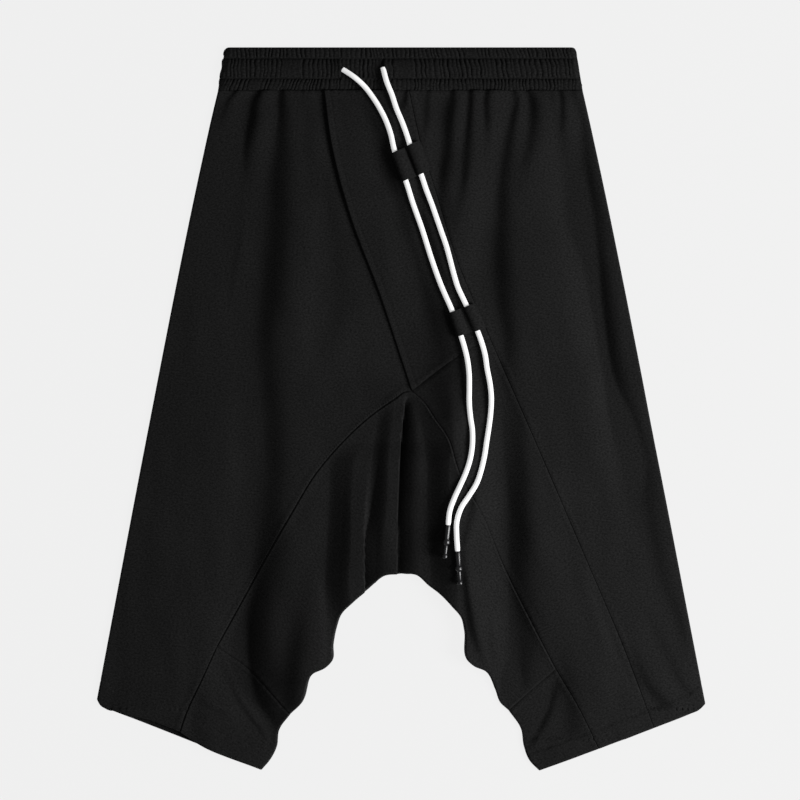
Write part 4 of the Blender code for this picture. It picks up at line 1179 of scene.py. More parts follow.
# %% Front panels
KNEE_RIGHT = 300.0  # drops at which a side faces the ends of the inner seams
KNEE_LEFT = 268.0
CUFF_RIGHT = 566.0
CUFF_LEFT = 575.0
GUSSET_MEETS = 0.74  # share of the long seam's lower part that faces the gusset
UNDERLAP = 6.0  # how far the right front runs under the overlay
FOLD_DOUBLE = 12.0  # width of the overlay's turned edge
LEG_EDGE = 90.0  # about the length of an inner leg's edges
ROWS = {"upper": 2.5, "thigh": 3.0, "gusset": 1.5, "leg": 1.8}  # spacing of each stretch's rows
COLUMNS = {  # spacing of each panel's columns, finest where many pleats are
    "front_right": 1.5, "front_centre": 1.05, "front_left_inner": 2.0, "front_left": 1.15,
    "gusset": 2.0, "leg_inner_right": 1.8, "leg_inner_left": 1.8,
}
GRAIN = {  # turn of the knit in each piece, degrees
    "front_right": 6.0, "front_centre": -16.0, "front_left": 8.0, "front_left_inner": -24.0,
    "gusset": 43.0, "leg_inner_right": 38.0, "leg_inner_left": -36.0, "back_right": 8.0,
    "back_left": -8.0, "tab_upper": -20.0, "tab_lower": -20.0,
}


def add_cloth(node, grid, heights, material, thickness=CLOTH, facing=1, doubled=None):
    """Show one piece of cloth as a shell in place of its plain solid."""
    mesh = grid_mesh(node + "_cloth", grid, heights, GRAIN.get(node, 0.0), facing)
    piece = link(mesh.name, mesh, material)
    thicken(piece, thickness, doubled)
    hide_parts(node)
    settle(piece)


def front_panel(node, left, right, top, bottom, sides):
    """One front panel in its folds; its hem, and the overlay's edge, are two layers thick."""
    grid = patch(left, right, top, bottom, COLUMNS[node], sides)
    heights = front_top(grid, node)
    doubled = to_hem(grid)[0] < HEM_DEPTH
    if node == "front_centre":
        doubled = doubled | (to_overlay(grid)[0] < FOLD_DOUBLE)
    if node == "gusset":
        grid = tucked(grid)
    add_cloth(node, grid, heights, french_terry, doubled=doubled)


def side_edge(rows, knee, cuff, stretches):
    """A folded side in three stretches, so that its rows face those of the inner edges."""
    side = Line(rows)
    drops = (BAND_DEPTH, knee, cuff, rows[-1][1])
    return joined(*[
        side.down(start, end, shares) for start, end, shares in zip(drops, drops[1:], stretches)
    ])


def make_fronts():
    gusset_right, gusset_left = Line(GUSSET_SEAM_RIGHT), Line(GUSSET_SEAM_LEFT)
    upper = spacing(overlay_fold.length, ROWS["upper"], "sewn")
    thigh = spacing(gusset_right.length, ROWS["thigh"])
    leg = spacing(LEG_EDGE, ROWS["leg"])
    fold, long_upper = overlay_fold.at(upper), seam_upper.at(upper)
    leg_right, leg_left = Line(LEG_SEAM_RIGHT).at(leg), Line(LEG_SEAM_LEFT).at(leg)
    long_seam = Line(LONG_SEAM_LOWER)
    beside_leg = GUSSET_MEETS + leg * (1 - GUSSET_MEETS)
    long_lower = joined(long_seam.at(thigh * GUSSET_MEETS), long_seam.at(beside_leg))

    under = fold + np.outer(UNDERLAP * ease((1 - upper) * 8), (1, 0))
    front_panel(
        "front_right", side_edge(SIDE_RIGHT, KNEE_RIGHT, CUFF_RIGHT, (upper, thigh, leg)),
        joined(under, gusset_right.at(thigh), leg_right), None, Line(HEM_RIGHT_FRONT),
        ("folded", "sewn"),
    )
    front_panel("front_centre", fold, long_upper, None, diagonal_seam, ("sewn", "sewn"))
    front_panel(
        "front_left_inner", joined(gusset_left.at(thigh), leg_left), long_lower, diagonal_seam,
        Line(HEM_LEFT_INNER), ("sewn", "sewn"),
    )
    front_panel(
        "front_left", joined(long_upper, long_lower),
        side_edge(SIDE_LEFT, KNEE_LEFT, CUFF_LEFT, (upper, thigh, leg)), None,
        Line(HEM_LEFT_FRONT), ("sewn", "folded"),
    )

    fine = spacing(gusset_right.length, ROWS["gusset"])
    front_panel(
        "gusset", joined(gusset_right.at(fine)[::-1], gusset_left.at(fine)),
        joined(Line(ARCH_RIGHT).at(fine)[::-1], Line(ARCH_LEFT).at(fine)),
        Line(CROSS_SEAM_RIGHT), Line(CROSS_SEAM_LEFT), ("sewn", "folded"),
    )
    front_panel(
        "leg_inner_right", leg_right, Line(INNER_LEG_RIGHT).at(leg), Line(CROSS_SEAM_RIGHT),
        Line(HEM_RIGHT_INNER), ("sewn", "folded"),
    )
    front_panel(
        "leg_inner_left", Line(INNER_LEG_LEFT).at(leg), leg_left, Line(CROSS_SEAM_LEFT[::-1]),
        Line(HEM_LEFT_LEG), ("folded", "sewn"),
    )


make_fronts()

# %% [markdown]
# ## The back panels
#
# The back lies flat on the table and carries the rest. Its outer face looks down, so its small
# relief is turned upwards into the cloth: the centre seam, the hem's stitches, and the gathers
# under the band, which are shallow because the cloth's weight presses them flat.

# %% Back panels
HIP_BACK = 400.0  # drops at which a side faces the ends of the centre seam
CUFF_BACK = 600.0  # and of the arch
BACK_ROWS = {  # about the length of each stretch, and the spacing of its rows
    "centre": (482.0, 6.0, "sewn"), "arch": (200.0, 5.0), "leg": (90.0, 2.5),
}
BACK_COLUMNS = 4.0
BACK_SHELL = 2 * CLOTH  # the back is drawn two layers thick
BACK_PLEATS = 26  # gathers under the band, both panels together
BACK_DEPTH = 0.9  # deepest gather
BACK_INSET = 0.35  # the back's sides lie this far inside the front's rolled edge
BACK_ROUND = (0.7, 1.6)  # the sides round upwards: how far, and in what width
centre_back = Line([(0.0, BAND_DEPTH), (0.0, ARCH_RIGHT[0][1])])
to_back_hem = Nearest([Line(HEM_RIGHT_BACK), Line(HEM_LEFT_BACK)])
to_back_seam = Nearest([centre_back, Line(WAIST_SEAM)])


def back_under(places):
    """Height of the outer, lower face of the back: flat, with its relief pressed upwards.

    Sines of a gather's number stand for chance, so no two have the same place, reach or depth.
    """
    x, drop = places[..., 0], places[..., 1]
    below = drop - BAND_DEPTH
    rise = 0.55 * bump(to_back_seam(places)[0], 0, 0.9)
    rise = rise + 0.4 * bump(to_back_hem(places)[0], HEM_DEPTH, HEM_GROOVE[1])
    for k in range(BACK_PLEATS):
        middle = (k + 0.5) * WAIST / BACK_PLEATS - WAIST / 2 + 4 * math.sin(2.4 * k)
        reach = 45.0 + 35.0 * math.sin(1.7 * k + 1) ** 2
        depth = BACK_DEPTH * (0.6 + 0.4 * math.sin(k))
        width = 1.8 + 3.5 * np.clip(below / reach, 0, 1)
        lean = below * middle / 900.0
        rise = rise + depth * ease(1 - below / reach) * bump(x, middle + lean, width)
    return rise + rounded_off(to_folded_edge(places)[0] - BACK_INSET, BACK_ROUND)


def make_backs():
    upper, arch, leg = (spacing(*stretch) for stretch in BACK_ROWS.values())
    panels = {
        "back_right": (SIDE_RIGHT, ARCH_RIGHT, INNER_LEG_RIGHT, HEM_RIGHT_BACK, 1),
        "back_left": (SIDE_LEFT, ARCH_LEFT, INNER_LEG_LEFT, HEM_LEFT_BACK, -1),
    }
    for node, (side, crotch, inner_leg, hem, inward) in panels.items():
        outer = side_edge(side, HIP_BACK, CUFF_BACK, (upper, arch, leg))
        inner = joined(centre_back.at(upper), Line(crotch).at(arch), Line(inner_leg).at(leg))
        outer = outer + (BACK_INSET * inward, 0)
        inner[len(upper):, 0] -= BACK_INSET * inward
        grid = patch(outer, inner, None, Line(hem), BACK_COLUMNS, ("folded", "sewn"))
        add_cloth(
            node, grid, back_under(grid), back_terry, thickness=BACK_SHELL,
            facing=-1,
        )


make_backs()

# %% [markdown]
# ## The gathered waistband
#
# Two lines of stitches hold the elastic and make three channels. The stretched elastic pulled
# the jersey together when it was let go, so the cloth stands in rounded ridges with sharp
# grooves between them, three to six millimetres apart and never quite alike. Each channel gets
# its own row of grooves from a seeded generator, with a lean that changes along the band. The
# middle channel carries the drawcord and stands highest. It is open for a short stretch, where
# both ends of the cord come out.

# %% Form of the waistband
UPPER_STITCH = 11.0  # drops of the two lines of stitches
LOWER_STITCH = 31.0
BAND_FORM = [  # (drop, rise of the outer face over the flat band)
    (0.0, 0.3), (2.0, 1.1), (5.5, 1.7), (9.0, 1.2), (UPPER_STITCH, 0.0), (13.2, 1.4),
    (21.0, 3.0), (28.8, 1.4), (LOWER_STITCH, 0.0), (33.0, 1.1), (37.0, 1.5), (41.0, 0.7),
    (BAND_DEPTH, -0.8),
]
CENTRE_FORM = [  # the same between the two mouths, where no cord runs
    (0.0, 0.3), (2.0, 1.1), (5.5, 1.6), (9.0, 1.0), (UPPER_STITCH, 0.0), (14.0, 0.7),
    (22.0, 0.9), (34.0, 0.8), (41.0, 0.4), (BAND_DEPTH, -0.8),
]
MOUTH_RIGHT = -60.3  # x where the right cord leaves its channel
MOUTH_LEFT = -17.6  # x where the left cord leaves its channel
MOUTH_SWELL = (1.3, 16.0)  # the channel swells round the cord: height, and how far
BAND_GROOVE = (0.9, 0.8)  # depth of a line of stitches, and its half-width
BAND_EDGE = (1.3, 1.8)  # the upper edge rounds down: how far, and in what depth
BAND_MIDDLE = (SIDE_LEFT[0][0] + SIDE_RIGHT[0][0]) / 2
BAND_START = BAND_MIDDLE - WAIST / 2
BAND_END = BAND_MIDDLE + WAIST / 2
WIDENING = (SIDE_LEFT[0][0] - SIDE_RIGHT[0][0]) / WAIST - 1
BAND_ROLL = 7.0  # width over which the band turns down at its sides
BAND_TOP = 2 * BAND_CLOTH + SEAM_GAP
BAND_CORNER = 4.0  # radius of the band's upper corners
print("the band is", BAND_END - BAND_START, "mm wide and", BAND_TOP, "mm high when it is flat")

# %% Gathers, one row of grooves a channel
Channel = namedtuple("Channel", "top foot pitch depth lean_right lean_middle lean_left seed")
CHANNELS = [
    Channel(-4.0, UPPER_STITCH, 4.0, 2.1, 0.02, 0.05, 0.30, 3),
    Channel(UPPER_STITCH, LOWER_STITCH, 4.3, 2.1, -0.06, 0.02, 0.16, 8),
    Channel(LOWER_STITCH, 46.0, 3.8, 1.9, -0.42, -0.10, 0.05, 5),
]
SMOOTH_PARTS = [  # (channel, x from, x to) where the cloth is hardly gathered
    (1, -118.0, -100.0), (1, -7.0, 11.0), (0, 60.0, 72.0), (2, -150.0, -141.0),
]
PITCH_SPREAD = (0.68, 1.36)  # a groove may follow this much sooner or later than usual


def make_grooves(channel):
    """Places and strengths of one channel's grooves along the band."""
    draw = np.random.default_rng(channel.seed)
    number = CHANNELS.index(channel)
    places, strengths = [BAND_START - 12.0], [0.5]
    while places[-1] < BAND_END + 12.0:
        places.append(places[-1] + channel.pitch * draw.uniform(*PITCH_SPREAD))
        strength = draw.uniform(0.35, 1.0)
        smooth = any(n == number and a < places[-1] < b for n, a, b in SMOOTH_PARTS)
        strengths.append(0.12 if smooth else strength)
    return np.array(places), np.array(strengths)


grooves = [make_grooves(channel) for channel in CHANNELS]


def gathers(x, drop):
    """How deep the grooves of the band are pressed in, in millimetres below the ridges."""
    total = np.zeros_like(x)
    for channel, (places, strengths) in zip(CHANNELS, grooves):
        middle = (channel.top + channel.foot) / 2
        leans = (channel.lean_right, channel.lean_middle, channel.lean_left)
        lean = np.interp(x, (-120, -40, 60), leans)
        sway = 0.35 * np.sin(drop / 2.9 + x / 11) + 0.25 * np.sin(drop / 1.7 - x / 7)
        upright = x - lean * (drop - middle) - sway
        k = np.clip(np.searchsorted(places, upright), 1, len(places) - 1)
        left, right = places[k - 1], places[k]
        half = (right - left) / 2
        to_left, to_right = (upright - left) / half, (right - upright) / half
        near_left = to_left < to_right
        share = np.clip(np.where(near_left, to_left, to_right), 0, 1)
        strength = np.where(near_left, strengths[k - 1], strengths[k])
        inside = ease((drop - channel.top) / 1.6) * ease((channel.foot - drop) / 1.6)
        pinch = 1 - 0.35 * bump(drop, middle, (channel.foot - channel.top) / 4)
        total = total + channel.depth * strength * (1 - share) ** 2.1 * inside * pinch
    return total


print("grooves in the three channels:", [len(places) for places, _ in grooves])

# %% The band's outer face
def band_top(places):
    """Height of the band's outer face at places given as (x, drop)."""
    x, drop = places[..., 0], places[..., 1]
    rise = smooth_between(*np.array(BAND_FORM).T, drop)
    centre = smooth_between(*np.array(CENTRE_FORM).T, drop)
    between = (x > MOUTH_RIGHT) & (x < MOUTH_LEFT)
    rise = np.where(between, centre, rise)
    channel = ease((drop - UPPER_STITCH - 1) / 6.0)
    channel = channel * ease((LOWER_STITCH - 1 - drop) / 6.0)
    for mouth, side in ((MOUTH_RIGHT, -1), (MOUTH_LEFT, 1)):
        away = (x - mouth) * side
        swell = MOUTH_SWELL[0] * ease(1 - away / MOUTH_SWELL[1]) * (away >= 0)
        rise = rise + swell * channel
    rise = rise - gathers(x, drop) * ease((drop - 0.3) / 2)
    depth, half_width = BAND_GROOVE
    rise = rise - depth * bump(drop, UPPER_STITCH, half_width)
    rise = rise - depth * bump(drop, LOWER_STITCH, half_width) * (1 - between)
    rise = rise - rounded_off(drop, BAND_EDGE)
    share = WIDENING * drop / BAND_DEPTH + 1
    end = (WAIST / 2 - np.abs(x - BAND_MIDDLE) / share).clip(0)
    turn = np.clip(end / BAND_ROLL, 0, 1)
    return BAND_CLOTH + (BAND_TOP - BAND_CLOTH + rise) * np.sqrt(1 - (1 - turn) ** 2)


def band_grid(start, end, step, rows):
    """A grid between two places along the band; it widens a little towards its seam."""
    share = spacing(end - start, step, "folded", "folded")
    along = start + share * (end - start)
    spread = 1 + WIDENING * rows[:, None] / BAND_DEPTH
    off = along[None, :] - BAND_MIDDLE
    corner = BAND_CORNER - np.sqrt(BAND_CORNER ** 2 - np.clip(BAND_CORNER - rows, 0, None) ** 2)
    near_end = ease((np.abs(off) - WAIST / 2 + 25.0) / 25.0)
    x = BAND_MIDDLE + off * spread - np.sign(off) * corner[:, None] * near_end
    return np.dstack([x, np.repeat(rows[:, None], len(along), axis=1)])


print("outer face at two gathers, mm:", band_top(np.array([(100.0, 21.0), (103.0, 21.0)])).round(1))

# %% The waistband's four parts
BAND_DROPS = ([0.0, 0.15, 0.45, 0.9, 1.5], 2.2, 54)  # rows: by the edge, first even one, number
BAND_COLUMNS = 0.55  # fine enough for a gather's sharp groove
BAND_SHELL = 1.5  # cloth of the front band without its elastic
BACK_BAND_DROPS = ([0.0, 0.3, 0.9], 1.8, 34)
BACK_BAND_COLUMNS = 1.3
BACK_BAND_SHELL = BAND_CLOTH - 0.9
BACK_BAND_GROOVE = (0.5, 0.9)  # its lines of stitches: depth and half-width
BACK_BAND_EDGE = (0.9, 1.5)  # its upper edge rounds: how far, and in what depth
JUST_INSIDE = 1e-4  # an end that lies on a mouth is measured from its own side


def band_drops(by_edge, first, count):
    """Drops of a band's rows: close ones by its upper edge, then even ones to its seam."""
    return np.concatenate([by_edge, np.linspace(first, BAND_DEPTH, count)])


def make_front_band():
    parts = {
        "waistband_front_right": (BAND_START, MOUTH_RIGHT),
        "waistband_front_centre": (MOUTH_RIGHT, MOUTH_LEFT),
        "waistband_front_left": (MOUTH_LEFT, BAND_END),
    }
    for node, (start, end) in parts.items():
        grid = band_grid(start, end, BAND_COLUMNS, band_drops(*BAND_DROPS))
        inwards = np.sign((start + end) / 2 - grid[..., :1]) * (1, 0)
        heights = band_top(grid + inwards * JUST_INSIDE)
        add_cloth(node, grid, heights, band_jersey_shaded, thickness=BAND_SHELL)


def make_back_band():
    grid = band_grid(BAND_START, BAND_END, BACK_BAND_COLUMNS, band_drops(*BACK_BAND_DROPS))
    x, drop = grid[..., 0], grid[..., 1]
    depth, half_width = BACK_BAND_GROOVE
    rise = 0.75 * gathers(-x, drop)
    for line in (UPPER_STITCH, LOWER_STITCH):
        rise = rise + depth * bump(drop, line, half_width)
    rise = rise + rounded_off(drop, BACK_BAND_EDGE)
    add_cloth(
        "waistband_back", grid, rise, band_jersey_shaded, thickness=BACK_BAND_SHELL,
        facing=-1,
    )


make_front_band()
make_back_band()

# %% [markdown]
# ## What lies under the cord
#
# The cord and the stitches lie on whatever is highest at their place: the band, the overlay or
# the plain front. One function answers that. A round cord touches the cloth at the highest point
# under its whole width, so its middle line is found by resting a circle there.

# %% Height of the garment's upper face
TOUCHES = (0.0, 0.35, 0.7, 0.95)  # circles under a round thing, as shares of its radius


def is_overlay(places):
    """True where a place lies on the overlay."""
    x, drop = places[..., 0], places[..., 1]
    fold = np.interp(drop, overlay_fold.points[:, 1], overlay_fold.points[:, 0])
    seam = np.interp(drop, seam_upper.points[:, 1], seam_upper.points[:, 0])
    foot = np.interp(x, diagonal_seam.points[:, 0], diagonal_seam.points[:, 1])
    return (x >= fold) & (x < seam) & (drop < foot) & (drop > BAND_DEPTH)


def upper_face(places):
    """Height of whatever cloth shows from above at each place."""
    places = np.asarray(places, dtype=float)
    top = np.where(is_overlay(places), front_top(places, "front_centre"), front_top(places))
    return np.where(places[..., 1] < BAND_DEPTH, band_top(places), top)


def resting(flat, radius):
    """Height of the middle of a round thing that rests on the cloth at each place."""
    angles = np.linspace(0, 2 * math.pi, 12, endpoint=False)
    rings = radius * np.array([
        (share * math.cos(angle), share * math.sin(angle)) for share in TOUCHES for angle in angles
    ])
    over = np.sqrt(radius ** 2 - (rings ** 2).sum(axis=1))
    return (upper_face(flat[:, None] + rings[None]) + over[None]).max(axis=1)


print("upper face on the band and the overlay, mm:", upper_face([(0, 21), (0, 200)]).round(1))

# %% [markdown]
# ## The drawcord
#
# Both ends of the cord show from where they leave the channel to their tips, with nothing coiled
# or hidden, so their length is simply the length of the line that they follow. The braid is in
# the mesh: sixteen yarns wind round the cord, eight each way, and pass over and under each other.
# A cord 5.5 mm thick is wide enough in the picture for that to show.

# %% Drawcord routes: rows of (x, drop) along each cord
CORD_RIGHT_ROUTE = [
    (-58.5, 22.5), (-50.5, 28.0), (-39.5, 37.0), (-31.0, 47.5), (-25.0, 56.0), (-20.0, 65.0),
    (-12.5, 82.0), (-6.5, 106.2), (4.2, 134.4), (10.0, 153.0), (21.0, 184.0), (28.5, 208.0),
    (39.5, 239.0), (50.5, 264.5), (58.8, 288.2), (65.1, 311.0), (67.3, 334.0), (66.9, 348.0),
    (67.5, 362.5), (70.2, 384.0), (69.2, 404.0), (63.1, 425.0), (54.4, 444.0), (48.3, 459.0),
    (46.2, 475.5),
]
CORD_LEFT_ROUTE = [
    (-18.4, 21.0), (-15.5, 33.0), (-10.0, 47.0), (-4.0, 65.0), (3.2, 82.0), (8.3, 98.7),
    (19.4, 127.9), (24.5, 143.0), (29.5, 156.0), (37.5, 179.0), (45.5, 202.5), (50.5, 222.0),
    (57.0, 243.0), (64.8, 259.0), (75.2, 283.4), (82.0, 303.0), (85.5, 324.0), (88.7, 341.0),
    (89.2, 356.0), (87.6, 373.0), (84.9, 391.0), (80.0, 418.0), (72.3, 439.0), (60.3, 456.0),
    (54.9, 471.0), (54.5, 485.0), (55.5, 501.5),
]
TabEnd = namedtuple("TabEnd", "edge cord_right stitch cord_left seam")
TABS = {
    "tab_upper": (
        TabEnd((-10.6, 108.3), (-6.5, 106.2), (3.0, 101.4), (8.3, 98.7), (17.8, 93.8)),
        TabEnd((0.0, 136.2), (4.2, 134.4), (14.0, 130.2), (19.4, 127.9), (28.2, 124.1)),
    ),
    "tab_lower": (
        TabEnd((41.5, 268.0), (50.5, 264.5), (58.4, 261.5), (64.8, 259.0), (72.5, 256.0)),
        TabEnd((54.2, 289.6), (58.8, 288.2), (67.4, 285.7), (75.2, 283.4), (83.4, 281.0)),
    ),
}
print("the cords cross", len(TABS), "tabs")

# %% How the cords lie
TAB_UNDERLAYER = 2.0  # a tab's lower layer lifts the cords that cross it
TAB_LEAN = 0.38  # how far a tab moves across for each millimetre down
TAB_REACH = 4.0  # the lift stays full this far beyond a tab's two ends
TAB_EASE = 14.0  # length in which it then dies out
CORD_SINK = 0.25  # how deep the cord's weight presses into soft cloth
CORD_POINTS = 36  # places at which the cord's height is found
CORD_BRIDGES = 4  # how often the cord is lifted over what it can't bend into
MOUTH_DIVE = (3.6, 9.0)  # a cord rises out of its channel: depth, and over what length


def tab_cover(places):
    """1 where a place lies between the two ends of a tab, dying out beyond them."""
    cover = np.zeros(len(places))
    for upper, lower in TABS.values():
        start = (upper.cord_right[1] + upper.cord_left[1]) / 2
        end = (lower.cord_right[1] + lower.cord_left[1]) / 2
        tilt = (upper.seam[1] - upper.edge[1]) / (upper.seam[0] - upper.edge[0])
        middle = (upper.cord_right[0] + upper.cord_left[0]) / 2
        across = places[:, 0] - middle - (places[:, 1] - start) * TAB_LEAN
        level = places[:, 1] - tilt * across
        away = np.maximum(start - level, level - end)
        cover = np.maximum(cover, 1 - ease((away - TAB_REACH) / TAB_EASE))
    return cover


def cord_line(route):
    """The middle line of a cord that rests on the cloth, in millimetres."""
    flat = Line(route).at(np.linspace(0, 1, CORD_POINTS))
    heights = resting(flat, CORD / 2) - CORD_SINK + TAB_UNDERLAYER * tab_cover(flat)
    for _ in range(CORD_BRIDGES):
        heights[1:-1] = np.maximum(heights[1:-1], (heights[:-2] + heights[2:]) / 2)
    heights[1:-1] = (heights[:-2] + 2 * heights[1:-1] + heights[2:]) / 4
    along = distances(flat)
    heights = heights - MOUTH_DIVE[0] * (1 - ease(along / MOUTH_DIVE[1]))
    return np.column_stack([flat, heights]), along


def resampled(points, along, step):
    """Points of a smooth line through others, a fixed step apart."""
    count = round(along[-1] / step)
    at = np.linspace(0, along[-1], count + 1)
    return np.stack([smooth_between(along, axis, at) for axis in points.T], axis=1)


cords = {
    "cord_right": cord_line(CORD_RIGHT_ROUTE),
    "cord_left": cord_line(CORD_LEFT_ROUTE),
}
for cord_name, (line, _) in cords.items():
    print(cord_name, "is", round(distances(line)[-1]), "mm long")

# %% The braided mesh
BRAID_YARNS = 8  # yarns that wind each way
BRAID_LEAD = 17.0  # length in which a yarn goes once round
BRAID_RELIEF = 0.2  # how far a yarn stands over the gaps
CORD_SIDES = 32  # points round the cord, four for each yarn that winds one way
CORD_GIRTH = 17.3  # the way round the cord
RING_STEP = 0.7  # distance between its rings of points


def frames_along(points):
    """Directions along a line, and two directions square to it that don't twist."""
    tangents = unit(np.gradient(points, axis=0))
    aside = np.empty_like(points)
    side = np.cross(tangents[0], (0, 0, 1.0))
    for k, tangent in enumerate(tangents):
        side = unit(side - tangent * side.dot(tangent))
        aside[k] = side
    return tangents, aside, np.cross(aside, tangents)


def braid(turn, along):
    """Relief of the braid, 0 in the gaps and 1 on top of a yarn."""
    one = math.pi * BRAID_YARNS * (turn + along / BRAID_LEAD)
    other = math.pi * BRAID_YARNS * (turn - along / BRAID_LEAD)
    over = 0.5 + 0.5 * np.sin(one) * np.sin(other)
    return over * np.cos(one) ** 2 + (1 - over) * np.cos(other) ** 2


def tube_mesh(name, points, along, radius_at, relief):
    """A capped tube round a line; radius_at and relief give its skin."""
    tangents, aside, up = frames_along(points)
    turns = np.arange(CORD_SIDES) / CORD_SIDES
    angle = 2 * math.pi * turns
    depth = relief(turns[None, :], along[:, None])
    radius = radius_at(along)[:, None] + (depth - 0.6) * BRAID_RELIEF
    ring = (
        aside[:, None] * np.cos(angle)[None, :, None] + up[:, None] * np.sin(angle)[None, :, None]
    )
    skin = (points[:, None] + ring * radius[..., None]).reshape(-1, 3)
    k = np.arange(len(points) * CORD_SIDES).reshape(-1, CORD_SIDES)
    after = np.roll(k, -1, axis=1)
    quads = np.stack([k[:-1], after[:-1], after[1:], k[1:]], axis=-1).reshape(-1, 4)
    faces = quads.tolist() + [k[0][::-1].tolist(), k[-1].tolist()]
    mesh = bpy.data.meshes.new(name)
    mesh.from_pydata(to_metres(skin).tolist(), [], faces)
    mesh.shade_smooth()
    yarn = np.stack([
        np.broadcast_to(turns * CORD_GIRTH, depth.shape),
        np.broadcast_to(along[:, None], depth.shape), depth,
    ], axis=-1).reshape(-1, 3)
    carried = mesh.attributes.new("yarn", "FLOAT_VECTOR", "POINT")
    carried.data.foreach_set("vector", yarn.astype(np.float32).ravel())
    return mesh


def make_cord(node):
    """One end of the drawcord; its skin draws in a little where it enters the tip."""
    line, along = cords[node]
    points = resampled(line, along, RING_STEP)
    travelled = distances(points)
    length = travelled[-1]

    def radius_at(at):
        return CORD / 2 - 0.2 - 0.3 * ease(1 - (length - at) / 3.0)

    mesh = tube_mesh(node + "_braid", points, travelled, radius_at, braid)
    face_outwards(mesh)
    piece = link(node + "_braid", mesh, cotton_braid)
    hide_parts(node)
    print(f"{piece.name}: {length:.0f} mm, {counted(mesh)} triangles")
    return piece, points


cord_pieces = {node: make_cord(node) for node in cords}

# %% [markdown]
# ## The moulded tips
#
# A tip is a turned shape: a long sleeve that grips the cord, a ring, a narrow neck and a rim. Its
# profile goes round with a Screw modifier. The rounded corners of the profile matter more than
# the profile itself, because a glossy black thing is seen only by the light on its edges.

# %% Cord tips
TIP_PROFILE = [  # (distance from the cord, radius)
    (0.0, 2.3), (0.25, 2.6), (0.7, 2.72), (3.0, 2.78), (8.0, 2.72), (13.6, 2.55), (14.3, 2.7),
    (14.9, 3.3), (15.6, 3.6), (16.4, 3.68), (17.6, 3.68), (18.4, 3.58), (19.1, 3.1),
    (19.7, 2.35), (20.6, 2.05), (24.0, 1.95), (28.0, 2.0), (28.9, 2.2), (29.5, 2.6),
    (30.2, 2.82), (31.2, 2.86), (32.2, 2.8), (32.9, 2.5), (33.3, 2.0), (33.4, 1.3),
]
TIP_STEPS = 48  # steps of the turned shape once round
TIP_RESTS = (0.45, 0.75, 1.0)  # shares of its length at which a tip may touch the cloth


def make_tip(node):
    """One tip on the end of its cord, lying on the cloth."""
    _, points = cord_pieces[node.replace("cord_tip", "cord")]
    route = CORD_RIGHT_ROUTE if node.endswith("right") else CORD_LEFT_ROUTE
    last = Line(route).at([1 - 13.0 / Line(route).length, 1.0])
    direction = unit(last[1] - last[0])
    end = points[-1]
    length = TIP_PROFILE[-1][0]
    ring = max(radius for _, radius in TIP_PROFILE)
    under = end[:2] + direction * np.array(TIP_RESTS)[:, None] * length
    level = resting(under, ring).max() - CORD_SINK
    far = np.array([*(end[:2] + direction * length), level])
    start, finish = (Vector(to_metres(place)) for place in (end, far))
    axis = (finish - start).normalized()
    rows = [(0.0, 0.0)] + [(radius, z) for z, radius in TIP_PROFILE] + [(0.0, length)]
    mesh = bpy.data.meshes.new(node + "_turned")
    mesh.from_pydata(
        [(radius * MM, 0, z * MM) for radius, z in reversed(rows)],
        [(k, k + 1) for k in range(len(rows) - 1)], [],
    )
    piece = link(node + "_turned", mesh, black_plastic)
    turned = piece.modifiers.new("turned", "SCREW")
    turned.steps = TIP_STEPS
    turned.render_steps = TIP_STEPS
    turned.use_merge_vertices = True
    turned.merge_threshold = 0.02 * MM
    turned.use_smooth_shade = True
    settle(piece)
    tilt = Vector((0, 0, 1)).rotation_difference(axis).to_matrix().to_4x4()
    tilt.translation = start + axis * SEAM_GAP * MM
    piece.data.transform(tilt)
    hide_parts(node)
    return piece


tip_pieces = {node: make_tip(node) for node in ("cord_tip_right", "cord_tip_left")}

# %% [markdown]
# ## The tabs
#
# Each tab is a strip folded in two, sewn into the long seam and stitched down between the cords.
# Its section runs from the seam over both cords to its folded edge and back underneath. A coarse
# cage of that section along the strip, with subdivision, gives the soft turn over each cord.

# %% Cord tabs
TAB_RISE = 2.4  # height of a tab's upper layer where it is sewn or stitched
TAB_SECTION = [  # (column, distance from its point, rise)
    ("seam", 0.0, TAB_RISE), ("cord_left", 5.0, 0.4), ("cord_left", 3.3, 2.3),
    ("cord_left", 0.0, 3.3), ("cord_left", -2.6, 2.3), ("cord_left", -3.5, 0.0),
    ("stitch", 0.7, TAB_RISE), ("stitch", -0.7, TAB_RISE), ("cord_right", 5.0, 0.4),
    ("cord_right", 3.3, 2.3), ("cord_right", 0.0, 3.3), ("cord_right", -2.6, 2.3),
    ("cord_right", -3.5, 0.0), ("cord_right", -2.9, -2.0), ("cord_right", -1.0, -3.2),
    ("stitch", 0.0, 1.9), ("seam", 0.0, 1.9),
]
TAB_ROWS = 9  # sections along a tab


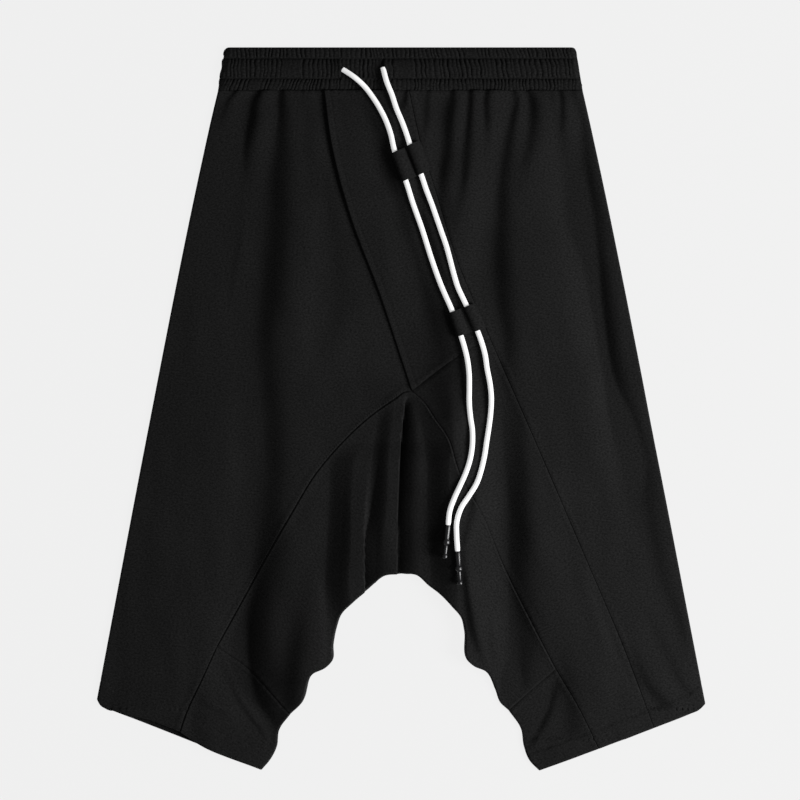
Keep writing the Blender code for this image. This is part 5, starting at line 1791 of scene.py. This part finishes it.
def make_tab(node):
    """One tab over the two cords."""
    upper, lower = TABS[node]
    shares = np.linspace(0, 1, TAB_ROWS)
    grid = np.empty((TAB_ROWS, len(TAB_SECTION), 2))
    heights = np.empty(grid.shape[:2])
    for i, share in enumerate(shares):
        ends = zip(np.array(upper), np.array(lower))
        middle = TabEnd(*(start * (1 - share) + end * share for start, end in ends))
        across = unit(middle.seam - middle.edge)
        for j, (column, offset, rise) in enumerate(TAB_SECTION):
            grid[i, j] = getattr(middle, column) + across * offset
            if column in cords:
                x, drop, height = cords[column][0].T
                heights[i, j] = np.interp(getattr(middle, column)[1], drop, height) + rise
            else:
                heights[i, j] = upper_face(grid[i, j][None])[0] + rise
    heights += 0.12 * np.sin(np.arange(TAB_ROWS) * 1.9)[:, None]
    mesh = grid_mesh(node + "_cloth", grid, heights, GRAIN[node])
    piece = link(mesh.name, mesh, french_terry)
    round_off = piece.modifiers.new("soft turns", "SUBSURF")
    round_off.levels = 2
    round_off.render_levels = 2
    shell = piece.modifiers.new("cloth thickness", "SOLIDIFY")
    shell.thickness = CLOTH * MM
    shell.offset = 1.0
    shell.use_even_offset = True
    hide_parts(node)
    return settle(piece)


{node: make_tab(node) for node in TABS}

# %% [markdown]
# ## Stitches
#
# Thread is only half a millimetre thick, but the light on it is what makes a seam look sewn. Each
# stitch is a tiny capsule whose ends dip into the cloth. One function lays a row of them along a
# line, at the height of the cloth under each, and joins the row into one mesh.

# %% One row of stitches
STITCH_RINGS = [(-1.0, 0.35), (-0.7, 0.85), (0.0, 1.0), (0.7, 0.85), (1.0, 0.35)]  # (place, radius)
STITCH_SIDES = 6
STITCH_SPREAD = (0.9, 1.08)  # shortest and longest stitch, as shares of the usual one


def quarter_turned(directions):
    """Directions on the cloth, each turned by a quarter."""
    return np.stack([-directions[:, 1], directions[:, 0]], axis=1)


def offset_line(line, distance):
    """A line moved square to itself, towards the picture's right where it runs down."""
    points = line.at(np.linspace(0, 1, max(3, int(line.length / 2))))
    moved = Line(points[:2])
    moved.points = points - quarter_turned(unit(np.gradient(points, axis=0))) * distance
    moved.measure()
    return moved


def stitch_places(line, pitch, start=0.0, end=1.0):
    """Middles and directions of the stitches along a stretch of a line."""
    count = max(2, int(line.length * (end - start) / pitch))
    shares = start + (end - start) * (np.arange(count) + 0.5) / count
    ahead = line.at(np.clip(shares + 0.5 / line.length, 0, 1))
    behind = line.at(np.clip(shares - 0.5 / line.length, 0, 1))
    return line.at(shares), unit(ahead - behind)


def stitch_faces():
    """Faces of one stitch: quads between its rings, and a cap at each end."""
    faces = []
    for a in range(0, (len(STITCH_RINGS) - 1) * STITCH_SIDES, STITCH_SIDES):
        for side in range(STITCH_SIDES):
            after = (side + 1) % STITCH_SIDES
            b = a + STITCH_SIDES
            faces.append((a + side, b + side, b + after, a + after))
    last = len(STITCH_RINGS) * STITCH_SIDES
    caps = [tuple(range(STITCH_SIDES)), tuple(range(last - 1, last - STITCH_SIDES - 1, -1))]
    return faces + caps


print("a stitch has", len(stitch_faces()), "faces")

# %% Sewing with them
def sew(name, rows, face, length=2.2, thickness=0.5, across=False, sink=0.1):
    """One piece with all the stitches of some rows; face gives the cloth's height."""
    middles = np.vstack([places for places, _ in rows])
    directions = np.vstack([direction for _, direction in rows])
    if across:
        directions = quarter_turned(directions)
    draw = np.random.default_rng(len(middles))
    middles = middles + draw.normal(0, 0.06, middles.shape)
    half = length / 2 * draw.uniform(*STITCH_SPREAD, len(middles))
    ends = [face(middles + directions * half[:, None] * t) for t in (-1, 1)]
    base = face(middles)
    tilt = np.clip((ends[1] - ends[0]) / 2, -length / 2, length / 2)
    radius = thickness / 2
    aside = quarter_turned(directions)
    rings = []
    for t, share in STITCH_RINGS:
        centre = middles + directions * (half * t)[:, None]
        height = base + tilt * t - sink - 0.9 * radius * t ** 4
        for angle in 2 * math.pi * np.arange(STITCH_SIDES) / STITCH_SIDES:
            flat = centre + aside * (radius * share * math.cos(angle))
            rings.append(np.column_stack([flat, height + radius * share * math.sin(angle)]))
    points = np.stack(rings, axis=1)
    per_stitch = points.shape[1]
    faces = [
        tuple(k * per_stitch + corner for corner in corners)
        for k in range(len(points)) for corners in stitch_faces()
    ]
    mesh = bpy.data.meshes.new(name)
    mesh.from_pydata(to_metres(points.reshape(-1, 3)).tolist(), [], faces)
    face_outwards(mesh)
    mesh.shade_smooth()
    piece = link(name, mesh, thread)
    print(f"{name}: {len(middles)} stitches, {counted(mesh)} triangles")
    return piece


def kept(rows, inside):
    """The stitches of some rows whose middle passes a test."""
    tested = [(places, directions, inside(places)) for places, directions in rows]
    return [(places[good], directions[good]) for places, directions, good in tested]


# %% Where the garment is stitched
HEM_PITCH = 3.2
BAND_PITCH = 3.0
TICK_PITCH = 2.5  # overlocked ridge beside the gusset's seams
TICKED = (0.03, 0.99)  # stretch of those seams, as shares of their length
TAB_PITCH = 2.4
TAB_TWIN = 0.9  # a tab has two rows, this far to either side of its middle
EDGE_PITCH = 2.8
EDGE_SEWN = (0.55, 0.985)  # stretch of the overlay's edge where its stitches show


def on_front(places):
    return to_folded_edge(places)[0] > ROLL


def hem_rows(*hems):
    """The stitch line that runs a hem's depth above each hem edge."""
    rows = []
    for table in hems:
        line = Line(table)
        upwards = HEM_DEPTH if line.points[-1][0] > line.points[0][0] else -HEM_DEPTH
        rows.append(stitch_places(offset_line(line, upwards), HEM_PITCH))
    return kept(rows, on_front)


def ridge_rows(tables, side, distance):
    """Places along the ridge beside some seams."""
    return [
        stitch_places(offset_line(Line(table), side * distance), TICK_PITCH, *TICKED)
        for table in tables
    ]


def band_rows():
    """The band's two lines; the lower one leaves out the stretch between the mouths."""
    start, end = BAND_START + 3.0, BAND_END - 3.0
    stretches = [
        (UPPER_STITCH, start, end),
        (LOWER_STITCH, start, MOUTH_RIGHT - 1.0),
        (LOWER_STITCH, MOUTH_LEFT + 1.0, end),
    ]
    return [stitch_places(Line([(a, drop), (b, drop)]), BAND_PITCH) for drop, a, b in stretches]


def tab_rows():
    """Two rows down the middle of each tab, between its cords."""
    rows = []
    for upper, lower in TABS.values():
        start, end = np.array(upper.stitch), np.array(lower.stitch)
        step = unit(end - start)
        for offset in (-TAB_TWIN, TAB_TWIN):
            aside = np.array([step[1], -step[0]]) * offset
            first, last = start + aside + step * 1.5, end + aside - step * 1.5
            rows.append(stitch_places(Line([first, last]), TAB_PITCH))
    return rows


def tab_face(places):
    return upper_face(places) + TAB_RISE + CLOTH


stitch_pieces = {
    "hem_right": sew("hem_stitches_right", hem_rows(HEM_RIGHT_FRONT, HEM_RIGHT_INNER), front_top),
    "hem_left": sew(
        "hem_stitches_left", hem_rows(HEM_LEFT_FRONT, HEM_LEFT_INNER, HEM_LEFT_LEG), front_top,
    ),
    "band": sew("band_stitches", band_rows(), band_top, length=2.1, sink=0.0),
    "tabs": sew("tab_stitches", tab_rows(), tab_face, length=1.7, thickness=0.6, sink=0.0),
    "overlay": sew(
        "overlay_edge_stitches",
        [stitch_places(offset_line(overlay_fold, EDGE_STITCH[0]), EDGE_PITCH, *EDGE_SEWN)],
        upper_face, length=1.9,
    ),
    "gusset": sew(
        "gusset_seam_stitches",
        ridge_rows([GUSSET_SEAM_RIGHT], -1, RIDGE[1]) + ridge_rows([GUSSET_SEAM_LEFT], 1, -RIDGE[1]),
        lambda places: front_top(places, "gusset"), length=1.7, thickness=0.42, across=True,
    ),
}

# %% [markdown]
# ## How each piece was cut
#
# A cut holds what a sheet of cloth measured before it was sewn and laid down. Each panel was cut
# with seams of 10 mm and a hem of 20 mm, and with the cloth that its folds take up. The band is
# cut longer than it lies, because its elastic gathers it.

# %% A record for a cut: width, length and area in metres, how the sheet is held and what it rests on
Cut = namedtuple("Cut", "width length area held rests_on")


# %% [markdown]
# ## The free cords
#
# Both ends are limp cotton, lie loose on the cloth and end in a moulded tip.


# %% [markdown]
# ## Light and table
#
# The picture has an even, almost white ground and one large soft light. It stands about 34
# degrees high on the picture's right, a little below the middle: the left sides of all folds are
# dark in the picture, and the right leg is a little darker than the left. A lamp at a finite
# distance gives that fall-off by itself. The ground shines mostly by itself, so no lamp shadow
# lies on it, as in the picture. The view transform is the plain one, so no tone curve bends the
# hex values of the materials.

# %% Light, world and table
KEY_TOWARDS = (0.81, -0.22, 0.56)  # from the garment to the lamp
KEY_DISTANCE = 2.4  # metres
KEY_SIZE = 1.30  # metres across
KEY_POWER = 97.0  # watts
AMBIENT = 0.20  # strength of the pale room round the table
GROUND = "#f0f0f0"
TABLE_DROP = 0.3  # millimetres below the back, so that the two don't share a face


def add_light():
    data = bpy.data.lights.new("soft lamp", "AREA")
    data.shape = "DISK"
    data.size = KEY_SIZE
    data.energy = KEY_POWER
    lamp = bpy.data.objects.new("soft lamp", data)
    towards = Vector(KEY_TOWARDS).normalized()
    lamp.location = towards * KEY_DISTANCE
    lamp.rotation_mode = "QUATERNION"
    lamp.rotation_quaternion = towards.to_track_quat("Z", "Y")
    bpy.context.scene.collection.objects.link(lamp)


def add_world():
    world = bpy.data.worlds.new("pale room")
    world.use_nodes = True
    world.node_tree.nodes["Background"].inputs["Color"].default_value = linear("#ffffff")
    world.node_tree.nodes["Background"].inputs["Strength"].default_value = AMBIENT
    bpy.context.scene.world = world
    bpy.context.scene.view_settings.view_transform = "Standard"


def add_table():
    bpy.ops.mesh.primitive_circle_add(
        vertices=96, radius=12.0, fill_type="NGON", location=(0, 0, -TABLE_DROP * MM),
    )
    table = bpy.context.object
    table.name = "table"
    material, shader = new_material(
        "pale paper", Base_Color=linear("#2b2b2b"), Roughness=1.0, Specular_IOR_Level=0.0,
        Emission_Color=linear(GROUND), Emission_Strength=0.97,
    )
    material.cycles.emission_sampling = "NONE"
    table.data.materials.append(material)


add_light()
add_world()
add_table()
print("lamp at", (Vector(KEY_TOWARDS).normalized() * KEY_DISTANCE)[:])

# %% The triangles in all, and the end
print("triangles in all:", total_triangles)
